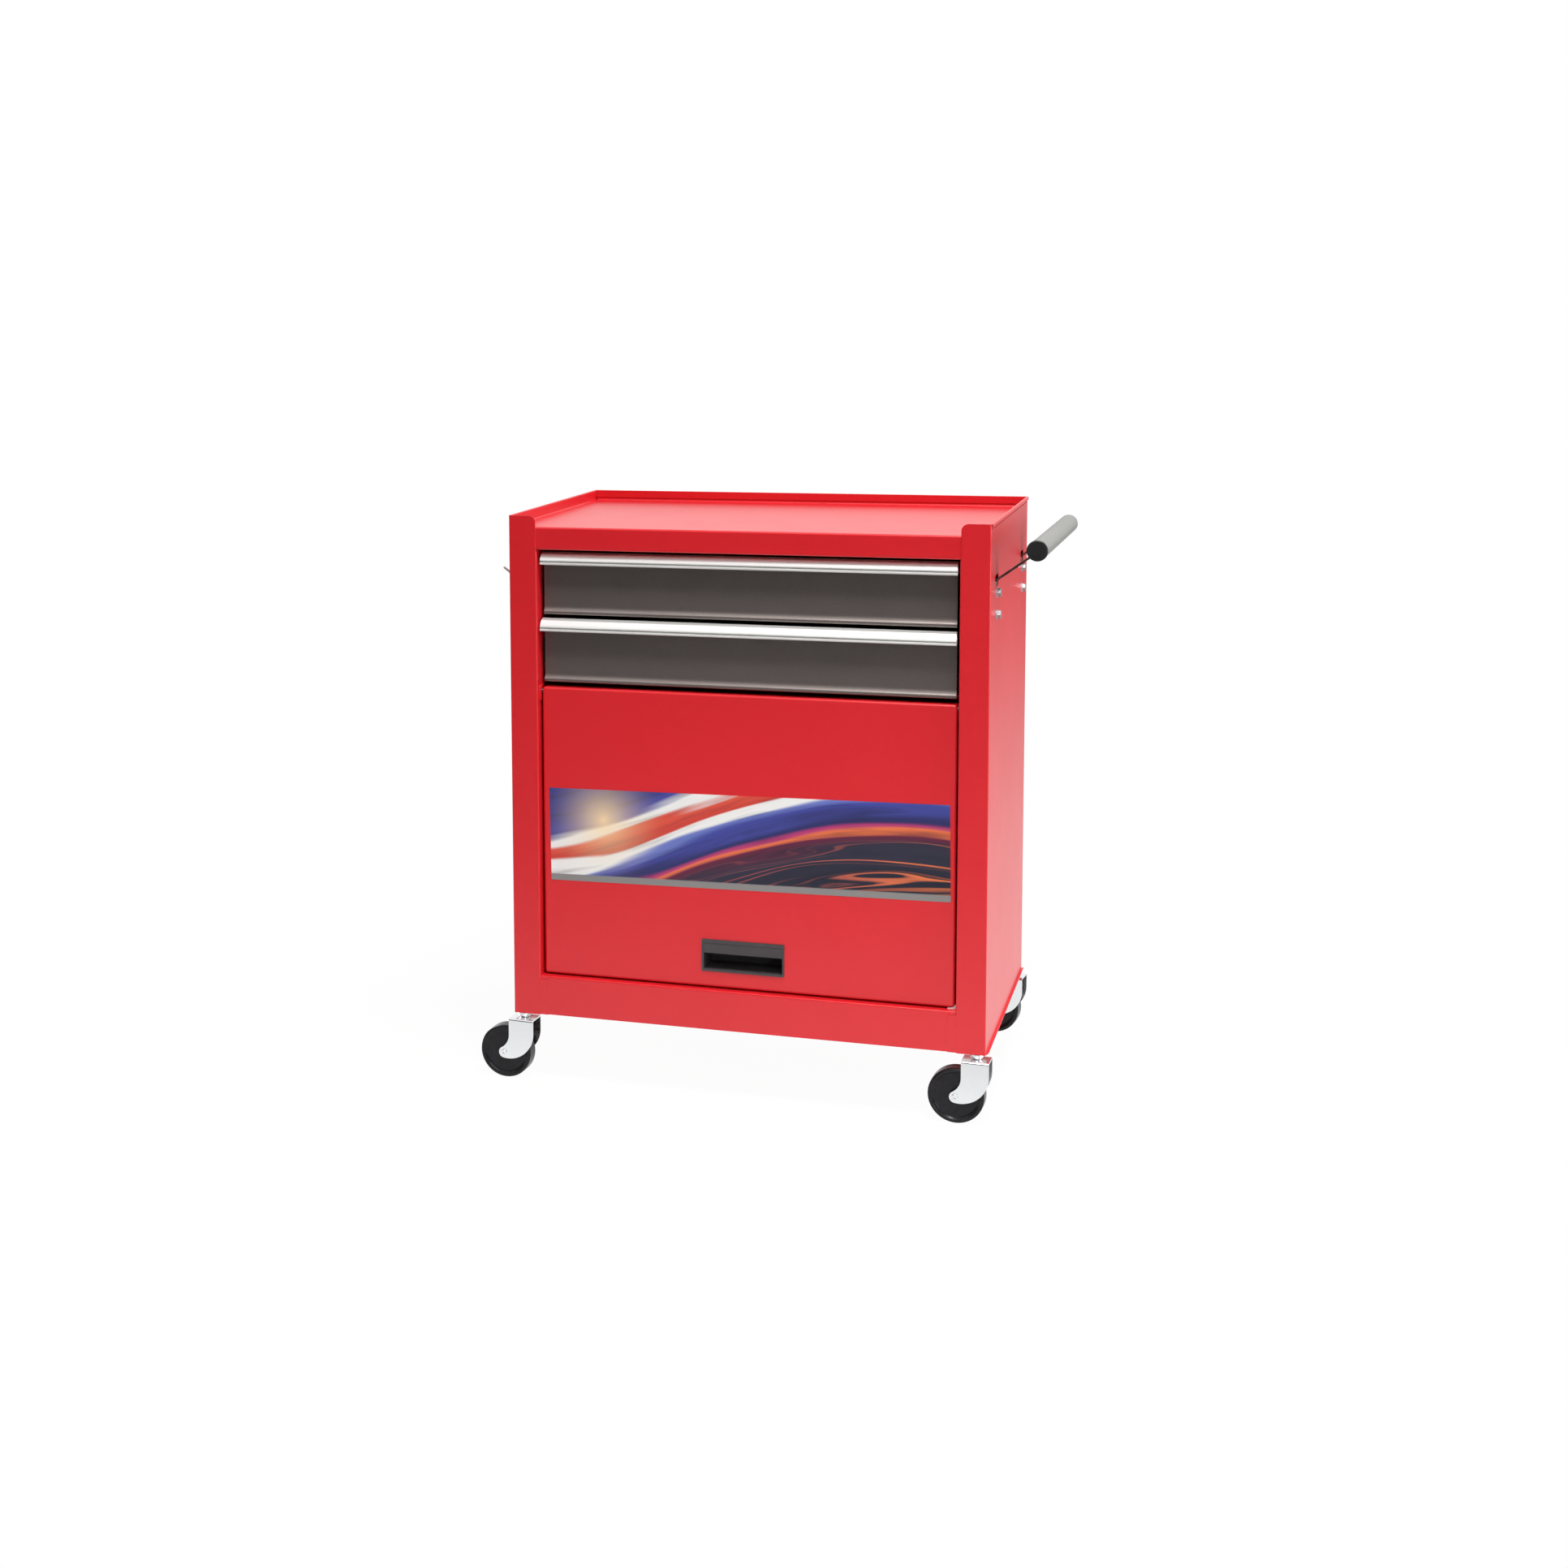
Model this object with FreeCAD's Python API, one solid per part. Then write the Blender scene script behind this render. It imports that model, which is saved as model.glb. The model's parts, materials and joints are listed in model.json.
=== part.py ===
"""Rolling tool cabinet: open top tray, two drawers, a lift-up door and four swivel casters.

Working frame, in millimetres: X from the body's middle, Y from the face of the front posts
towards the back, Z from the underside of the front rail. Each piece is moved on export, so that
the origin is the bottom centre of the whole cabinet's box, on the floor.
"""
import FreeCAD, Part
import math
import os

V = FreeCAD.Vector
X_AXIS = V(1, 0, 0)
Y_AXIS = V(0, 1, 0)
Z_AXIS = V(0, 0, 1)
ORIGIN = V(0, 0, 0)

# Driving dimensions of the body
BODY_WIDTH = 616.0
BODY_DEPTH = 399.0
BODY_TOP = 661.0
SHEET = 0.9
BEND = 1.0
BODY_BASE = -2.5
FLOOR_DROP = 92.8

# Front posts
POST_WIDTH = 36.0
POST_FLANGE = 34.0
POST_TOP_RADIUS = 9.0
POST_COLUMN_DEPTH = 4.0
POST_EDGE = 0.5
TAB_WIDTH = 11.2
TAB_TOP = 45.6
TAB_BASE = -1.8
TAB_LINK = 1.8
FOOT_GAP = 0.3
FOOT_FLANGE = 3.0
FOOT_FLANGE_START = 1.5
FOOT_FLANGE_TAPER = 9.0
FLANGE_TOP = 640.0
WALL_DROP = 7.2
REAR_FLANGE = 20.0

# Rear uprights
UPRIGHT_DEPTH = 34.0
UPRIGHT_BASE = 45.0
UPRIGHT_HEIGHT = 560.0
UPRIGHT_SIDE_LAP = 15.1
UPRIGHT_BACK_LAP = 22.0

# Front rail and divider rail
RAIL_BASE = -1.3
RAIL_TOP = 50.5
RAIL_TOP_FLANGE = 20.0
RAIL_FOOT_FLANGE = 12.0
DIVIDER_BASE = 438.5
DIVIDER_TOP = 444.0
DIVIDER_FRONT = 40.0
DIVIDER_DEPTH = 18.0

# Bottom pan
PAN_SIDE = 18.0
PAN_FIT = 0.2
PAN_BACK_FIT = 1.1

# Back panel
BACK_TOP = 657.0
BACK_CHANNELS = (215.0, 430.0)
BACK_MARGIN = 70.0
CHANNEL_DEPTH = 4.0
CHANNEL_HALF = 12.0
RIVET_RADIUS = 3.2
RIVET_HEIGHT = 1.0
RIVET_INSET = 12.0
RIVET_PLACES = (40.0, 180.0, 320.0, 460.0, 600.0)

# Top tray
FASCIA_FACE = 1.0
FASCIA_BASE = 617.0
FASCIA_FLANGE = 15.0
FASCIA_LAP = 12.0
TRAY_FLOOR = 646.5
TRAY_BEND = 2.0
TRAY_FIT = 0.1
RIM_RADIUS = 1.7
RIM_LIP = 656.8
RIM_START = 5.5
RIM_TAIL_BASE = 657.6
BACK_WALL_FACE = 396.2
HEM_HEIGHT = 10.0
CORNER_NOTCH = 1.3
CORNER_LAP = 0.3
TOP_EDGE_RADIUS = 0.6

# Drawers: base of the face, height of the face, base of the pull's bead, sideways shift of the pull
DRAWER_SHEET = 0.8
DRAWER_FACE = 18.0
DRAWER_FACE_WIDTH = 532.0
DRAWER_RETURN = 3.0
DRAWER_BOX_WIDTH = 514.8
DRAWER_BOX_BACK = 378.0
DRAWER_BOX_RISE = 6.0
DRAWER_BOX_DROP = 7.0
DRAWER_BOX_GAP = 0.05
DRAWER_LAP = 0.4
DRAWER_HEM = 8.0
DRAWERS = {1: (530.8, 82.0, 597.0, 0.0), 2: (442.0, 84.0, 510.0, -0.8)}

# Lip along the foot of a drawer's face: distance in front of the face, and height over its base
LIP_SWEEP = ((0.0, 12.0), (0.4, 8.6), (1.8, 5.6))
LIP_ROUND = ((1.8, 5.6), (2.9, 2.9), (1.4, 0.3))

# Pull strip: depth from the posts' face and height over the bead's base
PULL_WIDTH = 535.6
PULL_OUTLINE = (
    (18.0, 16.0), (16.4, 15.8), (10.4, 14.3), (9.2, 13.7), (8.3, 12.6), (5.6, 8.6), (4.5, 6.5), (4.1, 5.1),
    (5.6, 4.8), (5.6, 3.3), (4.3, 2.9), (3.9, 1.7), (4.2, 0.6), (4.9, 0.0),
)
PULL_INSIDE = (
    (6.6, 0.0), (6.6, 6.6), (7.1, 8.2), (10.2, 12.4), (16.6, 14.2), (16.6, 2.0), (18.0, 2.0),
)
PULL_WALL = 1.4
PULL_END_CUT = 0.6

# Drawer slides
SLIDE_LENGTH = 350.0
SLIDE_FRONT = 26.0
DRAWER_TRAVEL = 230.0
SLIDE_GAUGE = 1.0
SLIDE_BEND = 0.6
SLIDE_DROP = 1.0
OUTER_RAIL_HEIGHT = 35.0
OUTER_RAIL_LIP = 11.6
INNER_RAIL_HEIGHT = 24.0
INNER_RAIL_LIP = 10.0
CAGE_LENGTH = 110.0
CAGE_HALF = 14.65
CAGE_LIP = 6.6
CAGE_GAUGE = 0.8
CAGE_BEND = 0.5
CAGE_LEAD = 5.0
CAGE_END = 10.0
BALL_RADIUS = 2.0
BALL_INSET = 3.8
BALL_RISE = 0.4
BALLS_PER_SIDE = 6

# Door
DOOR_WIDTH = 536.0
DOOR_BASE = 52.5
DOOR_TOP = 435.8
DOOR_FACE = 10.0
DOOR_DEPTH = 18.0
DOOR_EDGE_RADIUS = 3.2
DOOR_CORNER_EXTRA = 0.6
DOOR_LIP = 10.0
DOOR_LIP_LAP = 0.4
HINGE_Y = 16.0
HINGE_Z = 429.8
PIN_RADIUS = 3.0
PIN_HEAD_RADIUS = 3.6
PIN_REACH = 6.0
PIN_HEAD_GAP = 0.6
PIN_END_GAP = 0.15
RUNNING_GAP = 0.05
BRACKET_GAUGE = 1.4
BRACKET_FRONT = 7.0
BRACKET_REAR = 13.0
BRACKET_BELOW = 12.0
BRACKET_ABOVE = 8.0
BRACKET_CORNER = 4.0
BUMPER_WIDTH = 9.5
BUMPER_FRONT = 1.2
BUMPER_DEPTH = 13.0
BUMPER_GAP = 0.15
BUMPER_LEAN = 2.5

# Door pull and label
CUP_WIDTH = 108.0
CUP_BASE = 73.3
CUP_TOP = 115.6
CUP_MIDDLE_X = -1.0
CUP_BEZEL = 1.4
CUP_CORNER = 1.2
CUP_DEPTH = 43.0
CUP_BORDER = 1.5
CUP_FIT = 0.1
CUP_WALL = 1.0
CUP_LIP_BASE = 97.7
CUP_GROOVE = 0.5
CUP_GROOVE_SIDE = 2.5
CUP_GROOVE_TOP = 4.8
LABEL_WIDTH = 520.0
LABEL_HEIGHT = 123.0
LABEL_MIDDLE = (1.5, 244.6)
LABEL_TILT = 0.85
LABEL_GAUGE = 0.3
LABEL_CORNER = 1.0

# Push handle
GRIP_X = 363.0
GRIP_Z = 627.4
GRIP_START = 6.5
GRIP_END = 390.5
GRIP_RADIUS = 12.1
GRIP_RISE = 0.55
GRIP_SWING = 0.33
CAP_RADIUS = 12.9
CAP_FACE = 2.4
CAP_ROUND = 1.6
CAP_SKIRT = 7.0
CAP_GAP = 0.2
TUBE_RADIUS = 9.5
TUBE_WALL = 1.5
TUBE_INSET = 3.0
ARM_PLACES = (62.0, 338.0)
ARM_WIDTH = 22.0
ARM_GAUGE = 2.6
ARM_BEND = 3.0
ARM_BEND_Z = 584.2
ARM_SLOPE = 36.0
ARM_REACH = 0.8
ARM_FOOT_BASE = 533.0
SLOT_WIDTH = 31.0
SLOT_BASE = 578.5
SLOT_TOP = 593.2
SLOT_CORNER = 3.0
BOLT_HEIGHTS = (543.0, 570.5)
BOLT_RADIUS = 3.0
BOLT_HOLE_RADIUS = 3.3
BOLT_TAIL = 8.0
BOLT_FLANGE_RADIUS = 6.4
BOLT_FLANGE = 1.2
HEX_FLATS = 10.0
HEX_HEIGHT = 5.4
HEX_CROWN = 6.6
NUT_HEIGHT = 5.0

# Hook on the left side
HOOK_Y = 62.0
HOOK_WIRE = 1.6
HOOK_TIP = (-336.9, 586.4)
HOOK_SLOPE = 39.0
HOOK_PLATE = (14.0, 40.0, 1.5)
HOOK_PLATE_DROP = 22.0
HOOK_PLATE_CORNER = 3.0
HOOK_BOLT_REACH = 14.0
HOOK_HOLE_RADIUS = 2.2
HOOK_RIVET = {"head": (3.8, 1.6), "shank": 2.0, "tail": (3.2, 2.5)}

# Casters
STEM_X = 296.7
STEM_FRONT_Y = 9.3
STEM_REAR_Y = 389.7
STEM_RADIUS = 5.0
STEM_TOP = 11.0
STEM_FIT = 0.3
STEM_NUT_FLATS = 14.0
STEM_NUT_HEIGHT = 7.0
STEM_HEAD_RADIUS = 7.75
STEM_HEAD = 2.1
RACE_TOP_RADIUS = 9.8
RACE_MIDDLE_RADIUS = 8.7
RACE_FOOT_RADIUS = 5.8
COLLAR_RADIUS = 6.9
RACE_GAP = 0.3
PLATE_GAUGE = 2.5
PLATE_DEPTH = 28.0
PLATE_SIDE_GAP = 0.7
PLATE_FRONT_GAP = 0.8
PLATE_LIFT = 0.1
FORK_TOP = -10.1
FORK_GAUGE = 2.0
FORK_WIDTH = 30.0
FORK_BEND = 3.0
FORK_HEEL = 16.9
FORK_NOSE = 17.4
HEEL_STRAIGHT = 19.3
NOSE_STRAIGHT = 22.8
FORK_TIP_RADIUS = 7.4
WHEEL_RADIUS = 35.4
WHEEL_WIDTH = 21.0
WHEEL_BORE = 3.0
HUB_GAP = 0.5
RIVET_HEAD = (4.2, 1.4, 0.8)
RIVET_DIMPLE = (1.9, 1.1)
TRAIL = 24.4
SWIVELS = {"front_left": -4.0, "front_right": -2.0, "rear_left": -4.0, "rear_right": -7.0}

# Wheel's side: radius, and depth under the tread's side face
WHEEL_SIDE = ((8.6, 2.6), (27.2, 2.6), (28.6, 2.0), (30.2, 0.5), (31.2, 0.0), (33.2, 0.0), (34.7, 0.7))
WHEEL_EDGE = 2.4
HUB_RADIUS = 7.6

# Sizes that follow from the ones above
HALF = BODY_WIDTH / 2
OPENING = HALF - POST_WIDTH - SHEET
WALL_INSIDE = HALF - SHEET
REAR_FLANGE_FACE = BODY_DEPTH - SHEET
AXLE_Z = -FLOOR_DROP + WHEEL_RADIUS

# A length that is longer than any cut needs to be, and the tolerance for finding edges
BEYOND = 60.0
NEAR = 1e-3


def box(x0, x1, y0, y1, z0, z1):
    """A block between two corners."""
    return Part.makeBox(x1 - x0, y1 - y0, z1 - z0, V(x0, y0, z0))


def mirrored(shape):
    """The same piece on the cabinet's other side."""
    return shape.mirror(ORIGIN, X_AXIS)


def joined(shapes):
    """Pieces of one part as one clean solid."""
    whole = shapes[0]
    for shape in shapes[1:]:
        whole = whole.fuse(shape)
    return whole.removeSplitter()


def rounded_line(points, radii):
    """Edges through 2-D points, with an arc of each inner point's radius at that point."""
    edges = []
    start = points[0]
    for i in range(1, len(points) - 1):
        before, corner, after = points[i - 1], points[i], points[i + 1]
        way_in = (before - corner).normalize()
        way_out = (after - corner).normalize()
        half_angle = way_in.getAngle(way_out) / 2
        reach = radii[i - 1] / math.tan(half_angle)
        arc_start = corner + way_in * reach
        arc_end = corner + way_out * reach
        middle_way = (way_in + way_out).normalize()
        centre = corner + middle_way * (radii[i - 1] / math.sin(half_angle))
        arc_middle = centre - middle_way * radii[i - 1]
        if (arc_start - start).Length > NEAR:
            edges.append(Part.LineSegment(start, arc_start).toShape())
        edges.append(Part.Arc(arc_start, arc_middle, arc_end).toShape())
        start = arc_end
    edges.append(Part.LineSegment(start, points[-1]).toShape())
    return edges


def offset_line(points, distance):
    """The same 2-D line moved sideways to its right by a distance, with mitred corners."""
    moved = []
    for i, point in enumerate(points):
        sides = []
        if i > 0:
            way = (point - points[i - 1]).normalize()
            sides.append(V(way.y, -way.x, 0))
        if i < len(points) - 1:
            way = (points[i + 1] - point).normalize()
            sides.append(V(way.y, -way.x, 0))
        if len(sides) == 1:
            moved.append(point + sides[0] * distance)
        else:
            bisector = (sides[0] + sides[1]).normalize()
            moved.append(point + bisector * (distance / bisector.dot(sides[0])))
    return moved


def sheet(points, gauge, bends, length):
    """Bent sheet metal along Z: a 2-D line of one face, thickened to its right.

    A negative gauge thickens to the left. bends is one inside radius for all corners, or a list.
    """
    line = [V(x, y, 0) for x, y in points]
    if not isinstance(bends, (list, tuple)):
        bends = [bends] * (len(line) - 2)
    line_radii = []
    other_radii = []
    for i, bend in enumerate(bends):
        way_in = line[i + 1] - line[i]
        way_out = line[i + 2] - line[i + 1]
        turns_left = way_in.cross(way_out).z > 0
        line_is_inside = turns_left == (gauge > 0)
        line_radii.append(bend if line_is_inside else bend + abs(gauge))
        other_radii.append(bend + abs(gauge) if line_is_inside else bend)
    other = offset_line(line, gauge)
    edges = rounded_line(line, line_radii)
    edges.append(Part.LineSegment(line[-1], other[-1]).toShape())
    back = rounded_line(other, other_radii)
    edges += list(reversed(back))
    edges.append(Part.LineSegment(other[0], line[0]).toShape())
    outline = Part.Wire(Part.__sortEdges__(edges))
    return Part.Face(outline).extrude(Z_AXIS * length)


def along_y(shape, y0):
    """A sheet drawn in (X, Z) and extruded: turned so that it runs back from y0."""
    turned = shape.copy()
    turned.rotate(ORIGIN, X_AXIS, 90)
    turned = turned.mirror(ORIGIN, Y_AXIS)
    turned.translate(V(0, y0, 0))
    return turned


def along_x(shape, x0):
    """A sheet drawn in (Y, Z) and extruded: turned so that it runs across from x0."""
    turned = shape.copy()
    turned.rotate(ORIGIN, V(1, 1, 1), 120)
    turned.translate(V(x0, 0, 0))
    return turned


def cylinder_x(radius, x0, x1, y, z):
    """A round bar along X."""
    return Part.makeCylinder(radius, x1 - x0, V(x0, y, z), X_AXIS)


def cylinder_y(radius, y0, y1, x, z):
    """A round bar along Y."""
    return Part.makeCylinder(radius, y1 - y0, V(x, y0, z), Y_AXIS)


def cylinder_z(radius, z0, z1, x, y):
    """A round bar along Z."""
    return Part.makeCylinder(radius, z1 - z0, V(x, y, z0), Z_AXIS)


def hexagon_x(flats, x0, x1, y, z):
    """A hexagonal prism along X, with a flat on top."""
    corner = flats / 2 / math.cos(math.pi / 6)
    points = []
    for i in range(7):
        angle = math.radians(60 * i)
        points.append(V(x0, y + corner * math.cos(angle), z + corner * math.sin(angle)))
    return Part.Face(Part.makePolygon(points)).extrude(V(x1 - x0, 0, 0))


def hexagon_z(flats, z0, z1, x, y):
    """A hexagonal prism along Z."""
    corner = flats / 2 / math.cos(math.pi / 6)
    points = []
    for i in range(7):
        angle = math.radians(60 * i)
        points.append(V(x + corner * math.cos(angle), y + corner * math.sin(angle), z0))
    return Part.Face(Part.makePolygon(points)).extrude(V(0, 0, z1 - z0))


def group(shapes):
    """Separate solids kept together as one node."""
    return Part.makeCompound(shapes)


def edges_of_length(shape, length):
    """The straight edges of a shape that have this length."""
    return [edge for edge in shape.Edges if abs(edge.Length - length) < NEAR]


def prism_x(points, x0, x1):
    """A solid with this (Y, Z) outline, from x0 to x1."""
    corners = [V(x0, y, z) for y, z in points]
    return Part.Face(Part.makePolygon(corners + [corners[0]])).extrude(V(x1 - x0, 0, 0))


# Body


def side_panel(right):
    """Front post, side wall, foot flange and rear flange, folded from one sheet."""
    plan = [
        (OPENING, POST_FLANGE),
        (OPENING, 0),
        (HALF, 0),
        (HALF, REAR_FLANGE_FACE),
        (HALF - REAR_FLANGE, REAR_FLANGE_FACE),
    ]
    wall_top = BODY_TOP - WALL_DROP
    flange_top = FASCIA_BASE - SHEET
    panel = sheet(plan, -SHEET, [BEND, POST_EDGE, BEND], BODY_TOP - BODY_BASE)
    panel.translate(V(0, 0, BODY_BASE))
    # Above the fascia the post has no flange, and behind its column the wall stops under the rim
    post_edge = OPENING + SHEET + TRAY_FIT
    panel = panel.cut(box(0, post_edge + BEND, SHEET, BEYOND, flange_top, BODY_TOP))
    panel = panel.cut(box(0, post_edge, -BEND, BEYOND, flange_top, BODY_TOP))
    above_wall = box(HALF - REAR_FLANGE, HALF + BEND, POST_COLUMN_DEPTH, BODY_DEPTH, wall_top, BODY_TOP)
    panel = panel.cut(above_wall)
    panel = panel.cut(box(0, WALL_INSIDE, BODY_DEPTH - REAR_FLANGE, BODY_DEPTH, FLANGE_TOP, BODY_TOP))
    panel = panel.cut(post_corner(post_edge))
    # At the foot the post's face runs on as a tab over the rail, and the flange is left out
    foot_gap = TAB_TOP + FOOT_GAP
    inner_edge = OPENING + SHEET + FOOT_GAP
    panel = panel.cut(box(0, inner_edge, -BEND, BEYOND, BODY_BASE, foot_gap))
    tab = box(OPENING - TAB_WIDTH + SHEET, inner_edge, 0, SHEET, TAB_BASE, TAB_TOP)
    tab_link = box(inner_edge - TAB_LINK, inner_edge, 0, SHEET, TAB_BASE, foot_gap)
    panel = joined([panel, tab, tab_link, foot_flange()])
    if not right:
        for z in hook_bolt_heights():
            panel = panel.cut(cylinder_x(HOOK_HOLE_RADIUS, HALF - PLATE_GAUGE, HALF + BEND, HOOK_Y, z))
        return mirrored(panel)
    for y in ARM_PLACES:
        panel = panel.cut(arm_slot(y))
        for z in BOLT_HEIGHTS:
            panel = panel.cut(cylinder_x(BOLT_HOLE_RADIUS, HALF - PLATE_GAUGE, HALF + BEND, y, z))
    return panel


def post_corner(post_edge):
    """What is cut away to make the post's inner top corner round."""
    radius = POST_TOP_RADIUS
    base = BODY_TOP - radius
    corner = box(post_edge - BEND, post_edge + radius, -BEND, SHEET + BEND, base, BODY_TOP + BEND)
    return corner.cut(cylinder_y(radius, -BEND, SHEET + BEND, post_edge + radius, base))


def arm_slot(y):
    """Rounded slot that a handle arm passes through."""
    depth = SHEET + 2 * BEND
    slot = box(
        HALF - SHEET - BEND, HALF + BEND, y - SLOT_WIDTH / 2, y + SLOT_WIDTH / 2, SLOT_BASE, SLOT_TOP
    )
    return slot.makeFillet(SLOT_CORNER, edges_of_length(slot, depth))


def foot_flange():
    """Narrow flange turned outwards along the foot of the side wall, tapered at its front end."""
    outer = HALF + FOOT_FLANGE
    outline = [
        V(WALL_INSIDE, FOOT_FLANGE_START, BODY_BASE),
        V(HALF, FOOT_FLANGE_START, BODY_BASE),
        V(outer, FOOT_FLANGE_START + FOOT_FLANGE_TAPER, BODY_BASE),
        V(outer, BODY_DEPTH, BODY_BASE),
        V(HALF, BODY_DEPTH, BODY_BASE),
        V(HALF, REAR_FLANGE_FACE, BODY_BASE),
        V(WALL_INSIDE, REAR_FLANGE_FACE, BODY_BASE),
    ]
    return Part.Face(Part.makePolygon(outline + [outline[0]])).extrude(V(0, 0, SHEET))


def rear_upright():
    """Folded channel in the back corner, from the side wall to the slides' plane."""
    back = REAR_FLANGE_FACE - SHEET
    plan = [
        (HALF - 2 * SHEET - UPRIGHT_SIDE_LAP, back - UPRIGHT_DEPTH),
        (OPENING, back - UPRIGHT_DEPTH),
        (OPENING, back),
        (HALF - UPRIGHT_BACK_LAP, back),
    ]
    upright = sheet(plan, SHEET, BEND, UPRIGHT_HEIGHT)
    upright.translate(V(0, 0, UPRIGHT_BASE))
    return upright


def back_panel():
    """Back sheet with two stiffening channels pressed towards the inside."""
    depth = CHANNEL_DEPTH
    rise = CHANNEL_HALF
    section = [(BODY_DEPTH, BODY_BASE + SHEET)]
    for z in BACK_CHANNELS:
        section += [
            (BODY_DEPTH, z - rise - depth),
            (BODY_DEPTH - depth, z - rise),
            (BODY_DEPTH - depth, z + rise),
            (BODY_DEPTH, z + rise + depth),
        ]
    section.append((BODY_DEPTH, BACK_TOP))
    width = BODY_WIDTH - 2 * TRAY_FIT
    pressed = along_x(sheet(section, -SHEET, BEND, width), -width / 2)
    # The channels stop short of the sides, where the sheet lies flat on the flanges
    flat = box(-width / 2, width / 2, REAR_FLANGE_FACE, BODY_DEPTH, BODY_BASE + SHEET, BACK_TOP)
    margin = HALF - BACK_MARGIN
    between = box(-margin, margin, 0, BODY_DEPTH + SHEET, BODY_BASE, BODY_TOP)
    pieces = [pressed.common(between), flat.cut(between)]
    for side in (-1, 1):
        for z in BACK_CHANNELS:
            x0 = side * margin - SHEET / 2
            pieces.append(
                box(x0, x0 + SHEET, BODY_DEPTH - depth, BODY_DEPTH, z - rise - depth, z + rise + depth)
            )
    return joined(pieces)


def bottom_pan():
    """Floor of the lower compartment, with its sides and back folded up."""
    base = SHEET
    side = WALL_INSIDE
    section = [(-side, PAN_SIDE), (-side, base), (side, base), (side, PAN_SIDE)]
    front = 2 * SHEET + BEND + PAN_FIT
    end = REAR_FLANGE_FACE - SHEET - PAN_BACK_FIT
    pan = along_y(sheet(section, -SHEET, BEND, end - front), front)
    back = box(-OPENING, OPENING, end - SHEET, end, base, PAN_SIDE)
    pan = joined([pan, back])
    for x, y in stem_places().values():
        pan = pan.cut(cylinder_z(STEM_RADIUS + STEM_FIT, 0, STEM_RADIUS, x, y))
    return pan


def front_rail():
    """Rail under the door, with a deep top flange and a short foot flange."""
    width = 2 * (OPENING - PAN_FIT)
    section = [
        (RAIL_FOOT_FLANGE + SHEET, RAIL_BASE),
        (SHEET, RAIL_BASE),
        (SHEET, RAIL_TOP),
        (RAIL_TOP_FLANGE + SHEET, RAIL_TOP),
    ]
    rail = along_x(sheet(section, SHEET, BEND, width), -width / 2)
    # Between the tabs the face is joggled forward, level with them
    step = OPENING - TAB_WIDTH + SHEET - TRAY_FIT
    face = box(-step, step, 0, SHEET, RAIL_BASE, RAIL_TOP - 2 * SHEET)
    return joined([rail, face])


def divider_rail():
    """Channel between the drawers and the door's compartment."""
    rear = DIVIDER_FRONT + DIVIDER_DEPTH
    section = [
        (rear, DIVIDER_BASE),
        (DIVIDER_FRONT, DIVIDER_BASE),
        (DIVIDER_FRONT, DIVIDER_TOP),
        (rear, DIVIDER_TOP),
    ]
    width = 2 * (OPENING - PAN_FIT)
    return along_x(sheet(section, SHEET, BEND, width), -width / 2)


def top_tray():
    """Fascia, floor and walls of the open tray, with the side walls rolled over the panels."""
    wall = WALL_INSIDE - TRAY_FIT
    floor = TRAY_FLOOR - SHEET
    rim_middle = BODY_TOP - RIM_RADIUS
    length = BACK_WALL_FACE - TRAY_BEND - RIM_START
    section = [(-wall, rim_middle), (-wall, floor), (wall, floor), (wall, rim_middle)]
    tray = along_y(sheet(section, -SHEET, TRAY_BEND, length), RIM_START)
    front = [
        (FASCIA_FACE + FASCIA_FLANGE, FASCIA_BASE),
        (FASCIA_FACE, FASCIA_BASE),
        (FASCIA_FACE, TRAY_FLOOR),
        (FASCIA_FACE + FASCIA_LAP, TRAY_FLOOR),
    ]
    reach = wall - SHEET
    fascia = along_x(sheet(front, SHEET, [BEND, TRAY_BEND], 2 * reach), -reach)
    notch = reach - CORNER_NOTCH
    corner_edge = reach + CORNER_LAP
    back_sheet = REAR_FLANGE_FACE - TRAY_FIT
    back = [
        (back_sheet - FASCIA_LAP, floor),
        (back_sheet, floor),
        (back_sheet, BODY_TOP),
    ]
    back_wall = along_x(sheet(back, -SHEET, TRAY_BEND, 2 * notch), -notch)
    hem = box(
        -corner_edge, corner_edge, BACK_WALL_FACE, back_sheet - SHEET, BODY_TOP - HEM_HEIGHT, BODY_TOP
    )
    # Above the bends the back wall reaches both side walls
    corner_base = TRAY_FLOOR + TRAY_BEND
    corner = box(notch - SHEET, corner_edge, back_sheet - SHEET, back_sheet, corner_base, BODY_TOP)
    rim = tray_rim(wall, rim_middle)
    whole = joined([tray, rim, mirrored(rim), fascia, back_wall, hem, corner, mirrored(corner)])
    top_edges = []
    for edge in whole.Edges:
        flat = abs(edge.BoundBox.ZMin - BODY_TOP) < NEAR and edge.BoundBox.XLength > HALF
        if flat:
            top_edges.append(edge)
    return whole.makeFillet(TOP_EDGE_RADIUS, top_edges)


def tray_rim(wall, middle):
    """Rolled rim over the right side panel, with its hanging lip."""
    centre = wall - SHEET + RIM_RADIUS
    outer = centre + RIM_RADIUS
    rim = cylinder_y(RIM_RADIUS, RIM_START, BODY_DEPTH, centre, middle)
    rim = rim.cut(cylinder_y(RIM_RADIUS - SHEET, RIM_START, BODY_DEPTH, centre, middle))
    rim = rim.cut(box(0, outer + SHEET, 0, BODY_DEPTH + SHEET, TRAY_FLOOR, middle))
    lip = box(outer - SHEET, outer, RIM_START, BODY_DEPTH, RIM_LIP, middle)
    tail_start = BACK_WALL_FACE - TRAY_BEND - SHEET
    tail = box(wall - SHEET, wall, tail_start, BODY_DEPTH, RIM_TAIL_BASE, middle)
    return joined([rim, lip, tail])


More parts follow.
